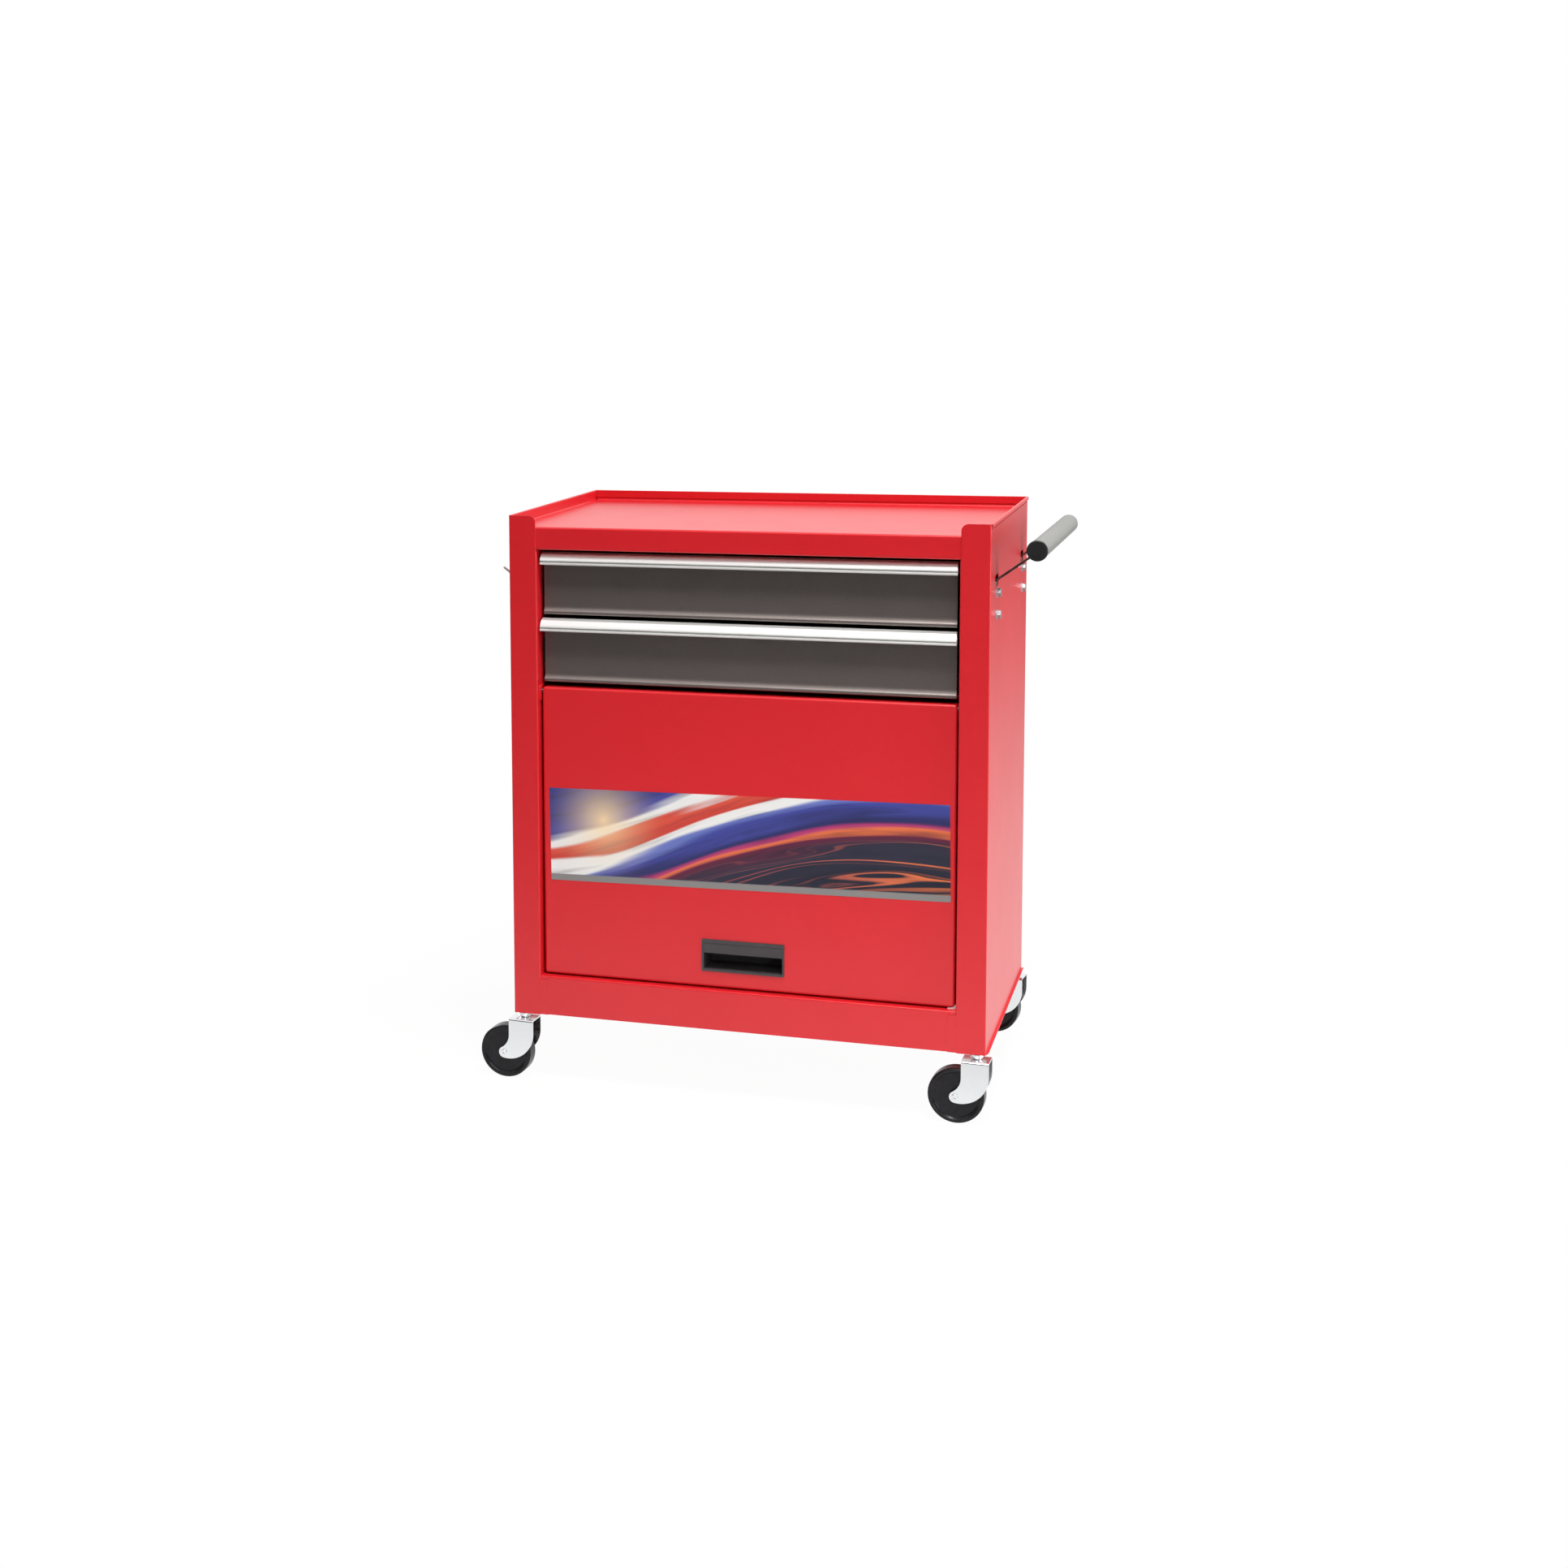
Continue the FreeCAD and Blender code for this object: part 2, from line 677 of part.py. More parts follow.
def hinge_bracket():
    """Plate on the post's flange, with the hole that the door's pin turns in."""
    inner = OPENING - BRACKET_GAUGE
    plate = box(
        inner, OPENING, HINGE_Y - BRACKET_FRONT, HINGE_Y + BRACKET_REAR,
        HINGE_Z - BRACKET_BELOW, HINGE_Z + BRACKET_ABOVE,
    )
    plate = plate.makeFillet(BRACKET_CORNER, edges_of_length(plate, BRACKET_GAUGE))
    hole = cylinder_x(PIN_RADIUS + RUNNING_GAP, inner - BEND, OPENING + BEND, HINGE_Y, HINGE_Z)
    return plate.cut(hole)


def door_bumper():
    """Nylon wedge in the opening's lower right corner, which the closed door rests on."""
    right = OPENING - BUMPER_GAP
    left = DOOR_WIDTH / 2 - BUMPER_WIDTH
    front = DOOR_FACE + BUMPER_FRONT
    top = DOOR_BASE - BUMPER_GAP
    outline = [
        V(left, front, RAIL_TOP),
        V(right, front, RAIL_TOP),
        V(right, front, top + DOOR_EDGE_RADIUS / 2),
        V(DOOR_WIDTH / 2 + BUMPER_GAP, front, top + DOOR_EDGE_RADIUS / 2),
        V(DOOR_WIDTH / 2 - DOOR_EDGE_RADIUS, front, top),
        V(left + BUMPER_LEAN, front, top),
    ]
    return Part.Face(Part.makePolygon(outline + [outline[0]])).extrude(V(0, BUMPER_DEPTH, 0))


# Push handle


def tilted(shape):
    """A part of the grip that was built along Y, turned to the grip's slight slope."""
    middle = V(GRIP_X, (GRIP_START + GRIP_END) / 2, GRIP_Z)
    turned_part = shape.copy()
    turned_part.rotate(middle, X_AXIS, -GRIP_RISE)
    turned_part.rotate(middle, Z_AXIS, -GRIP_SWING)
    return turned_part


def handle_arm(y):
    """Strip bracket: foot bolted inside the side wall, arm out through the slot to the tube."""
    slope = math.radians(ARM_SLOPE)
    face = WALL_INSIDE
    end_x = GRIP_X - (TUBE_RADIUS - ARM_REACH) * math.cos(slope)
    end_z = ARM_BEND_Z + (end_x - face) * math.tan(slope)
    line = [(face, ARM_FOOT_BASE), (face, ARM_BEND_Z), (end_x, end_z)]
    strip = along_y(sheet(line, -ARM_GAUGE, ARM_BEND, ARM_WIDTH), y - ARM_WIDTH / 2)
    for z in BOLT_HEIGHTS:
        strip = strip.cut(cylinder_x(BOLT_HOLE_RADIUS, HALF - BOLT_TAIL, HALF, y, z))
    return strip.cut(tilted(cylinder_y(TUBE_RADIUS, 0, BODY_DEPTH, GRIP_X, GRIP_Z)))


def handle_tube():
    """Steel tube inside the grip."""
    tube = cylinder_y(TUBE_RADIUS, GRIP_START + TUBE_INSET, GRIP_END - TUBE_INSET, GRIP_X, GRIP_Z)
    return tilted(tube.cut(cylinder_y(TUBE_RADIUS - TUBE_WALL, 0, BODY_DEPTH, GRIP_X, GRIP_Z)))


def handle_grip():
    """Smooth plastic sleeve over the tube, notched where the arms reach the tube."""
    start = GRIP_START + CAP_FACE + CAP_GAP
    end = GRIP_END - CAP_GAP
    sleeve = cylinder_y(GRIP_RADIUS, start, end, GRIP_X, GRIP_Z)
    sleeve = tilted(sleeve.cut(cylinder_y(TUBE_RADIUS, 0, BODY_DEPTH, GRIP_X, GRIP_Z)))
    for y in ARM_PLACES:
        sleeve = sleeve.cut(handle_arm(y))
    return sleeve


def grip_cap():
    """Front cap: a disc with a rounded edge and a skirt inside the tube."""
    face_end = GRIP_START + CAP_FACE
    face = cylinder_y(CAP_RADIUS, GRIP_START, face_end, GRIP_X, GRIP_Z)
    outer_edges = [edge for edge in face.Edges if abs(edge.BoundBox.YMax - GRIP_START) < NEAR]
    face = face.makeFillet(CAP_ROUND, outer_edges)
    skirt = cylinder_y(TUBE_RADIUS - TUBE_WALL, face_end, face_end + CAP_SKIRT, GRIP_X, GRIP_Z)
    return joined([face, skirt])


def grip_caps():
    """Front cap, wider than the grip, and the rear one, set into the sleeve's end."""
    rear = cylinder_y(TUBE_RADIUS - TUBE_WALL, GRIP_END - CAP_SKIRT, GRIP_END, GRIP_X, GRIP_Z)
    return group([tilted(grip_cap()), tilted(rear)])


def handle_bolts():
    """Flanged hexagon bolts through the side wall and the arms' feet."""
    bolts = []
    for y in ARM_PLACES:
        for z in BOLT_HEIGHTS:
            head = hexagon_x(HEX_FLATS, HALF, HALF + HEX_HEIGHT, y, z)
            crown = Part.makeCone(HEX_FLATS, HEX_FLATS / 2, HEX_CROWN, V(HALF, y, z), X_AXIS)
            flange = Part.makeCone(
                BOLT_FLANGE_RADIUS, HEX_FLATS / 2, 2 * BOLT_FLANGE, V(HALF, y, z), X_AXIS
            )
            shank = cylinder_x(BOLT_RADIUS, HALF - SHEET - ARM_GAUGE - BOLT_TAIL, HALF, y, z)
            bolts.append(joined([head.common(crown), flange, shank]))
    return group(bolts)


def handle_nuts():
    """Nuts of the handle's bolts, on the inside."""
    nuts = []
    face = HALF - SHEET - ARM_GAUGE
    for y in ARM_PLACES:
        for z in BOLT_HEIGHTS:
            nut = hexagon_x(HEX_FLATS, face - NUT_HEIGHT, face, y, z)
            nuts.append(nut.cut(cylinder_x(BOLT_RADIUS, face - BOLT_TAIL, face + BEND, y, z)))
    return group(nuts)


# Hook


def hook_bolt_heights():
    """Heights of the hook plate's two rivets."""
    middle = HOOK_TIP[1] - HOOK_PLATE_DROP
    return (middle - HOOK_BOLT_REACH, middle + HOOK_BOLT_REACH)


def side_hook():
    """Small wire hook welded to a plate on the left side wall."""
    width, height, gauge = HOOK_PLATE
    low, high = hook_bolt_heights()
    middle = (low + high) / 2
    outer = -HALF - gauge
    plate = box(
        outer, -HALF, HOOK_Y - width / 2, HOOK_Y + width / 2, middle - height / 2, middle + height / 2
    )
    plate = plate.makeFillet(HOOK_PLATE_CORNER, edges_of_length(plate, gauge))
    for z in (low, high):
        plate = plate.cut(cylinder_x(HOOK_HOLE_RADIUS, outer - BEND, -HALF + BEND, HOOK_Y, z))
    slope = math.radians(HOOK_SLOPE)
    way = V(-math.cos(slope), 0, math.sin(slope))
    tip = V(HOOK_TIP[0], HOOK_Y, HOOK_TIP[1]) - way * HOOK_WIRE
    run = (-HALF - gauge / 2 - tip.x) / math.cos(slope)
    root = tip - way * run
    wire = Part.makeCylinder(HOOK_WIRE, run, root, way)
    wire = joined([wire, Part.makeSphere(HOOK_WIRE, tip)])
    wire = wire.cut(box(-HALF, 0, 0, BODY_DEPTH, 0, BODY_TOP))
    return joined([plate, wire])


def hook_bolts():
    """Blind rivets of the hook's plate."""
    head_radius, head_height = HOOK_RIVET["head"]
    tail_radius, tail_height = HOOK_RIVET["tail"]
    outer = -HALF - HOOK_PLATE[2]
    inner = -HALF + SHEET
    rivets = []
    for z in hook_bolt_heights():
        head = cylinder_x(head_radius, outer - head_height, outer, HOOK_Y, z)
        shank = cylinder_x(HOOK_RIVET["shank"], outer, inner, HOOK_Y, z)
        tail = cylinder_x(tail_radius, inner, inner + tail_height, HOOK_Y, z)
        rivets.append(joined([head, shank, tail]))
    return group(rivets)


# Drawers


def drawer_box(face_base, face_height):
    """Folded tub with welded back and inner front, set behind the drawer's face."""
    half = DRAWER_BOX_WIDTH / 2
    base = face_base + DRAWER_BOX_RISE
    top = face_base + face_height - DRAWER_BOX_DROP
    front = DRAWER_FACE + DRAWER_SHEET + DRAWER_BOX_GAP
    rear = DRAWER_BOX_BACK
    section = [(-half, top), (-half, base), (half, base), (half, top)]
    pan = along_y(sheet(section, -DRAWER_SHEET, BEND, rear - front), front)
    lap = half - DRAWER_LAP
    foot = base + DRAWER_LAP
    back = box(-lap, lap, rear - DRAWER_SHEET, rear, foot, top)
    inner_front = box(-lap, lap, front, front + DRAWER_SHEET, foot, top)
    # The sides' top edges are folded flat on the outside
    hem = box(half, half + DRAWER_SHEET, front, rear, top - DRAWER_HEM, top)
    tub = joined([pan, hem, mirrored(hem)])
    return group([tub, back.cut(tub), inner_front.cut(tub)])


def drawer_front(face_base, face_height):
    """Face sheet: top return, flat face, and a lip along the bottom that sweeps forward."""
    half = DRAWER_FACE_WIDTH / 2
    top = face_base + face_height
    inner = DRAWER_FACE + DRAWER_SHEET
    rear = inner + DRAWER_RETURN
    sweep = [V(0, DRAWER_FACE - out, face_base + up) for out, up in LIP_SWEEP]
    lip = [V(0, DRAWER_FACE - out, face_base + up) for out, up in LIP_ROUND]
    lift = V(0, DRAWER_SHEET, 0)
    foot = V(0, rear, face_base)
    return_top = V(0, 0, -DRAWER_SHEET)
    outline = [
        Part.LineSegment(V(0, rear, top), V(0, DRAWER_FACE, top)).toShape(),
        Part.LineSegment(V(0, DRAWER_FACE, top), sweep[0]).toShape(),
        Part.Arc(*sweep).toShape(),
        Part.Arc(*lip).toShape(),
        Part.LineSegment(lip[2], foot).toShape(),
        Part.LineSegment(foot, foot + V(0, 0, DRAWER_SHEET)).toShape(),
        Part.LineSegment(foot + V(0, 0, DRAWER_SHEET), lip[2] + V(0, DRAWER_SHEET, DRAWER_SHEET)).toShape(),
        Part.Arc(lip[2] + V(0, DRAWER_SHEET, DRAWER_SHEET), lip[1] + lift, lip[0] + lift).toShape(),
        Part.Arc(sweep[2] + lift, sweep[1] + lift, sweep[0] + lift).toShape(),
        Part.LineSegment(sweep[0] + lift, V(0, inner, top) + return_top).toShape(),
        Part.LineSegment(V(0, inner, top) + return_top, V(0, rear, top) + return_top).toShape(),
        Part.LineSegment(V(0, rear, top) + return_top, V(0, rear, top)).toShape(),
    ]
    face = Part.Face(Part.Wire(outline)).extrude(V(2 * half, 0, 0))
    face.translate(V(-half, 0, 0))
    side_base = face_base + LIP_SWEEP[0][1] + DRAWER_SHEET
    side = box(half - DRAWER_SHEET, half, DRAWER_FACE + DRAWER_LAP, rear, side_base, top - DRAWER_LAP)
    return joined([face, side, mirrored(side)])


def drawer_pull(bead_base, shift):
    """Full-width pull strip: a bead, a groove, a leaning face and a sloping top, open below."""
    points = [(y, bead_base + z) for y, z in PULL_OUTLINE + PULL_INSIDE]
    half = PULL_WIDTH / 2
    strip = prism_x(points, -half, half)
    # End plates close the strip, and both ends lean inwards towards the top
    front = PULL_OUTLINE[4][0] + DRAWER_LAP
    end_points = [
        (front, bead_base + PULL_OUTLINE[6][1] + DRAWER_LAP),
        (front + PULL_WALL, bead_base + PULL_OUTLINE[5][1]),
        (PULL_OUTLINE[2][0], bead_base + PULL_OUTLINE[3][1]),
        (DRAWER_FACE - DRAWER_LAP, bead_base + PULL_OUTLINE[2][1]),
        (DRAWER_FACE - DRAWER_LAP, bead_base + PULL_INSIDE[-1][1]),
        (front, bead_base + PULL_INSIDE[-1][1]),
    ]
    thick = PULL_WALL + PULL_END_CUT
    end = prism_x(end_points, half - thick, half)
    pull = joined([strip, end, mirrored(end)])
    top = bead_base + PULL_OUTLINE[0][1]
    cut_start = bead_base + PULL_OUTLINE[7][1]
    wedge = Part.Face(
        Part.makePolygon(
            [
                V(half, 0, cut_start),
                V(half + PULL_END_CUT, 0, cut_start),
                V(half + PULL_END_CUT, 0, top + BEND),
                V(half - PULL_END_CUT, 0, top + BEND),
                V(half, 0, cut_start),
            ]
        )
    ).extrude(V(0, DRAWER_FACE + BEND, 0))
    pull = pull.cut(wedge).cut(mirrored(wedge))
    pull.translate(V(shift, 0, 0))
    return pull


def slide_middle(face_base, face_height):
    """Height of a drawer's slides."""
    return face_base + face_height / 2 - SLIDE_DROP


def outer_rail(middle):
    """C channel on the cabinet, open towards the drawer."""
    web = OPENING
    half = OUTER_RAIL_HEIGHT / 2
    lip = web - OUTER_RAIL_LIP
    section = [(lip, middle - half), (web, middle - half), (web, middle + half), (lip, middle + half)]
    return along_y(sheet(section, -SLIDE_GAUGE, SLIDE_BEND, SLIDE_LENGTH), SLIDE_FRONT)


def inner_rail(middle):
    """Smaller C channel on the drawer's side, open towards the cabinet."""
    web = DRAWER_BOX_WIDTH / 2
    half = INNER_RAIL_HEIGHT / 2
    lip = web + INNER_RAIL_LIP
    section = [(lip, middle - half), (web, middle - half), (web, middle + half), (lip, middle + half)]
    return along_y(sheet(section, SLIDE_GAUGE, SLIDE_BEND, SLIDE_LENGTH), SLIDE_FRONT)


def ball_cage(middle):
    """Retainer strip with its bearing balls above and below."""
    web = OPENING - SLIDE_GAUGE - CAGE_GAUGE
    half = CAGE_HALF
    lip = web - CAGE_LIP
    section = [(lip, middle - half), (web, middle - half), (web, middle + half), (lip, middle + half)]
    start = SLIDE_FRONT + DRAWER_TRAVEL / 2 + CAGE_LEAD
    cage = along_y(sheet(section, -CAGE_GAUGE, CAGE_BEND, CAGE_LENGTH), start)
    pitch = (CAGE_LENGTH - 2 * CAGE_END) / (BALLS_PER_SIDE - 1)
    balls = []
    for side in (-1, 1):
        for i in range(BALLS_PER_SIDE):
            z = middle + side * (half - BALL_RISE)
            centre = V(web - BALL_INSET, start + CAGE_END + i * pitch, z)
            balls.append(Part.makeSphere(BALL_RADIUS, centre))
    return joined([cage] + balls)


# Door


def door_panel():
    """Shallow pan with rounded edges, an inner lip, pin holes and the cup's cut-out."""
    half = DOOR_WIDTH / 2
    back = DOOR_FACE + DOOR_DEPTH
    outside = door_block(half, back, 0)
    inside = door_block(half, back + DOOR_LIP, SHEET)
    door = outside.cut(inside)
    lap = DOOR_LIP_LAP
    ring = box(-half + lap, half - lap, back - SHEET, back, DOOR_BASE + lap, DOOR_TOP - lap)
    lip = DOOR_LIP
    ring = ring.cut(
        box(-half + lip, half - lip, DOOR_FACE, back + BEND, DOOR_BASE + lip, DOOR_TOP - lip)
    )
    door = joined([door, ring.common(outside)])
    cup = CUP_WIDTH / 2 - CUP_BORDER
    cut = box(
        CUP_MIDDLE_X - cup, CUP_MIDDLE_X + cup, 0, back, CUP_BASE + CUP_BORDER, CUP_TOP - CUP_BORDER
    )
    door = door.cut(cut)
    for x0 in (-half - BEND, half - BEND):
        door = door.cut(cylinder_x(PIN_RADIUS, x0, x0 + 2 * BEND, HINGE_Y, HINGE_Z))
    return door


def door_block(half, back, inset):
    """The door's rounded block, made smaller all round by an inset."""
    front = DOOR_FACE + inset
    block = box(-half + inset, half - inset, front, back, DOOR_BASE + inset, DOOR_TOP - inset)
    corners = [edge for edge in block.Edges if edge.BoundBox.YLength > BEND]
    block = block.makeFillet(DOOR_EDGE_RADIUS + DOOR_CORNER_EXTRA - inset, corners)
    front_edges = [edge for edge in block.Edges if abs(edge.BoundBox.YMax - front) < NEAR]
    return block.makeFillet(DOOR_EDGE_RADIUS - inset, front_edges)


def door_pull():
    """Recessed cup with a thin frame on the door's face and a finger plate over its upper part."""
    half = CUP_WIDTH / 2
    middle = CUP_MIDDLE_X
    front = DOOR_FACE - CUP_BEZEL
    frame = box(middle - half, middle + half, front, DOOR_FACE, CUP_BASE, CUP_TOP)
    frame = frame.makeFillet(CUP_CORNER, edges_of_length(frame, CUP_BEZEL))
    hole = half - CUP_BORDER - CUP_FIT
    base = CUP_BASE + CUP_BORDER + CUP_FIT
    top = CUP_TOP - CUP_BORDER - CUP_FIT
    rear = DOOR_FACE + CUP_DEPTH
    wall = CUP_WALL
    cup = box(middle - hole, middle + hole, DOOR_FACE, rear, base, top)
    left = middle - hole + wall
    right = middle + hole - wall
    hollow = box(left, right, front + wall, rear - wall, base + wall, top - wall)
    mouth = box(left, right, 0, DOOR_FACE + wall, base + wall, CUP_LIP_BASE)
    cup = joined([frame, cup]).cut(hollow).cut(mouth)
    # A fine groove parts the finger plate from the frame
    edge = half - CUP_GROOVE_SIDE
    groove_top = CUP_TOP - CUP_GROOVE_TOP
    groove = box(middle - edge, middle + edge, 0, front + CUP_GROOVE, CUP_LIP_BASE, groove_top)
    inner = edge - CUP_GROOVE
    plate = box(middle - inner, middle + inner, 0, DOOR_FACE, 0, groove_top - CUP_GROOVE)
    return cup.cut(groove.cut(plate))


def door_label():
    """Thin sheet on the door's face, set very slightly askew."""
    half_width = LABEL_WIDTH / 2
    half_height = LABEL_HEIGHT / 2
    front = DOOR_FACE - LABEL_GAUGE
    label = box(-half_width, half_width, front, DOOR_FACE, -half_height, half_height)
    label = label.makeFillet(LABEL_CORNER, edges_of_length(label, LABEL_GAUGE))
    label.rotate(ORIGIN, Y_AXIS, -LABEL_TILT)
    label.translate(V(LABEL_MIDDLE[0], 0, LABEL_MIDDLE[1]))
    return label


def door_pins():
    """Headed pins, fixed in the door's sides and turning in the hinge brackets."""
    side = DOOR_WIDTH / 2
    start = side - PIN_REACH
    pin = cylinder_x(PIN_RADIUS, start, OPENING - PIN_END_GAP, HINGE_Y, HINGE_Z)
    head = cylinder_x(PIN_HEAD_RADIUS, start, side - SHEET - PIN_HEAD_GAP, HINGE_Y, HINGE_Z)
    whole = joined([pin, head])
    return group([whole, mirrored(whole)])


# Casters


def stem_places():
    """Where the casters' stems stand, by corner."""
    return {
        "front_left": (-STEM_X, STEM_FRONT_Y),
        "front_right": (STEM_X, STEM_FRONT_Y),
        "rear_left": (-STEM_X, STEM_REAR_Y),
        "rear_right": (STEM_X, STEM_REAR_Y),
    }


def caster_plates():
    """Reinforcing plates under the bottom pan's corners."""
    plates = []
    top = SHEET - PLATE_LIFT
    half = (WALL_INSIDE - OPENING - SHEET) / 2 - PLATE_SIDE_GAP
    middle = (OPENING + SHEET + WALL_INSIDE) / 2
    front = SHEET + PLATE_FRONT_GAP
    rear = REAR_FLANGE_FACE - SHEET - PLATE_FRONT_GAP - PLATE_DEPTH
    for x, y in stem_places().values():
        centre = math.copysign(middle, x)
        y0 = front if y < BODY_DEPTH / 2 else rear
        plate = box(centre - half, centre + half, y0, y0 + PLATE_DEPTH, top - PLATE_GAUGE, top)
        plates.append(plate.cut(cylinder_z(STEM_RADIUS, top - PLATE_GAUGE, top, x, y)))
    return group(plates)


def caster_stems():
    """Threaded stems with the bowl-shaped upper race and the lower head that carry the forks."""
    stems = []
    race_top = BODY_BASE - RACE_GAP
    race_foot = FORK_TOP + RACE_GAP
    head_top = FORK_TOP - FORK_GAUGE - RACE_GAP
    collar_top = SHEET - PLATE_LIFT - PLATE_GAUGE
    bowl = [
        Part.LineSegment(V(0, 0, race_top), V(RACE_TOP_RADIUS, 0, race_top)).toShape(),
        Part.Arc(
            V(RACE_TOP_RADIUS, 0, race_top),
            V(RACE_MIDDLE_RADIUS, 0, (race_top + race_foot) / 2),
            V(RACE_FOOT_RADIUS, 0, race_foot),
        ).toShape(),
        Part.LineSegment(V(RACE_FOOT_RADIUS, 0, race_foot), V(0, 0, race_foot)).toShape(),
        Part.LineSegment(V(0, 0, race_foot), V(0, 0, race_top)).toShape(),
    ]
    race = Part.Face(Part.Wire(bowl)).revolve(ORIGIN, Z_AXIS, 360)
    for x, y in stem_places().values():
        stem = cylinder_z(STEM_RADIUS, head_top - STEM_HEAD, STEM_TOP, x, y)
        collar = cylinder_z(COLLAR_RADIUS, race_top, collar_top, x, y)
        head = cylinder_z(STEM_HEAD_RADIUS, head_top - STEM_HEAD, head_top, x, y)
        placed = race.copy()
        placed.translate(V(x, y, 0))
        stems.append(joined([stem, placed, collar, head]))
    return group(stems)


def stem_nuts():
    """Nuts that hold the stems on the bottom pan."""
    nuts = []
    base = 2 * SHEET
    for x, y in stem_places().values():
        nut = hexagon_z(STEM_NUT_FLATS, base, base + STEM_NUT_HEIGHT, x, y)
        nuts.append(nut.cut(cylinder_z(STEM_RADIUS, 0, 2 * STEM_NUT_HEIGHT, x, y)))
    return group(nuts)


def turned(shape, place, corner):
    """A caster piece drawn about the stem's axis, set at its corner and swivelled."""
    moved = shape.copy()
    moved.rotate(ORIGIN, Z_AXIS, SWIVELS[corner])
    moved.translate(V(place[0], place[1], 0))
    return moved


def fork_shape():
    """Folded fork: a top plate and two legs that sweep down to the axle behind the stem."""
    tip = V(-TRAIL, 0, AXLE_Z)
    radius = FORK_TIP_RADIUS
    # The heel's arc leaves the straight edge upright and runs into the round tip
    heel_end = FORK_TOP - HEEL_STRAIGHT
    dx = FORK_HEEL + TRAIL
    dz = heel_end - AXLE_Z
    heel_radius = (dx * dx + dz * dz - radius * radius) / (2 * (dx - radius))
    heel_centre = V(FORK_HEEL - heel_radius, 0, heel_end)
    heel_way = (tip - heel_centre).normalize()
    heel_touch = heel_centre + heel_way * heel_radius
    heel_middle = heel_centre + (heel_way + X_AXIS).normalize() * heel_radius
    # The nose is hollow: its arc leaves the straight edge upright and meets the tip from outside
    nose_end = FORK_TOP - NOSE_STRAIGHT
    dx = TRAIL - FORK_NOSE
    dz = nose_end - AXLE_Z
    nose_radius = (dx * dx + dz * dz - radius * radius) / (2 * (radius + dx))
    nose_centre = V(-FORK_NOSE - nose_radius, 0, nose_end)
    nose_way = (tip - nose_centre).normalize()
    nose_touch = nose_centre + nose_way * nose_radius
    nose_middle = nose_centre + (nose_way + X_AXIS).normalize() * nose_radius
    low = ((heel_touch - tip).normalize() + (nose_touch - tip).normalize()).normalize()
    nose = V(-FORK_NOSE, 0, FORK_TOP)
    heel = V(FORK_HEEL, 0, FORK_TOP)
    outline = [
        Part.LineSegment(nose, heel).toShape(),
        Part.LineSegment(heel, V(FORK_HEEL, 0, heel_end)).toShape(),
        Part.Arc(V(FORK_HEEL, 0, heel_end), heel_middle, heel_touch).toShape(),
        Part.Arc(heel_touch, tip + low * radius, nose_touch).toShape(),
        Part.Arc(nose_touch, nose_middle, V(-FORK_NOSE, 0, nose_end)).toShape(),
        Part.LineSegment(V(-FORK_NOSE, 0, nose_end), nose).toShape(),
    ]
    block = Part.Face(Part.Wire(outline)).extrude(V(0, FORK_WIDTH, 0))
    block.translate(V(0, -FORK_WIDTH / 2, 0))
    top_edges = []
    for edge in block.Edges:
        size = edge.BoundBox
        if abs(size.ZMin - FORK_TOP) < NEAR and size.XLength > FORK_HEEL:
            top_edges.append(edge)
    block = block.makeFillet(FORK_BEND, top_edges)
    inner = FORK_WIDTH / 2 - FORK_GAUGE
    space = box(-BEYOND, BEYOND, -inner, inner, -FLOOR_DROP, FORK_TOP - FORK_GAUGE)
    fork = block.cut(space)
    fork = fork.cut(cylinder_z(STEM_RADIUS + RUNNING_GAP, -BEYOND, 0, 0, 0))
    return fork.cut(cylinder_y(WHEEL_BORE, -FORK_WIDTH, FORK_WIDTH, -TRAIL, AXLE_Z))


def axle_shape():
    """Riveted axle with a dimpled round head outside each leg."""
    half = FORK_WIDTH / 2
    radius, height, edge_round = RIVET_HEAD
    dimple_radius, dimple_depth = RIVET_DIMPLE
    axle = cylinder_y(WHEEL_BORE, -half, half, -TRAIL, AXLE_Z)
    for side in (-1, 1):
        face = side * (half + height)
        head = Part.makeCylinder(radius, height, V(-TRAIL, side * half, AXLE_Z), V(0, side, 0))
        rim = [e for e in head.Edges if abs(e.BoundBox.YMin - face) < NEAR and e.BoundBox.YLength < NEAR]
        head = head.makeFillet(edge_round, rim)
        dimple = Part.makeCylinder(dimple_radius, dimple_depth, V(-TRAIL, face, AXLE_Z), V(0, -side, 0))
        axle = joined([axle, head]).cut(dimple)
    return axle


def wheel_shape():
    """One-piece wheel: rounded tread, a rim, a sunk disc and a hub as wide as the fork allows."""
    half = WHEEL_WIDTH / 2
    hub = FORK_WIDTH / 2 - FORK_GAUGE - HUB_GAP
    side = [(WHEEL_BORE + RUNNING_GAP, hub), (HUB_RADIUS, hub)]
    side += [(radius, half - sunk) for radius, sunk in WHEEL_SIDE]
    side.append((WHEEL_RADIUS, half - WHEEL_EDGE))
    points = [V(radius, y, 0) for radius, y in side]
    points += [V(radius, -y, 0) for radius, y in reversed(side)]
    profile = Part.Face(Part.makePolygon(points + [points[0]]))
    wheel = profile.revolve(ORIGIN, Y_AXIS, 360)
    wheel.translate(V(-TRAIL, 0, AXLE_Z))
    return wheel


# Rivets


def panel_rivets():
    """Blind rivets that hold the back panel and the uprights, seen from behind."""
    rivets = []
    for side in (-1, 1):
        for z in RIVET_PLACES:
            x = side * (HALF - RIVET_INSET)
            rivets.append(cylinder_y(RIVET_RADIUS, BODY_DEPTH, BODY_DEPTH + RIVET_HEIGHT, x, z))
    return group(rivets)


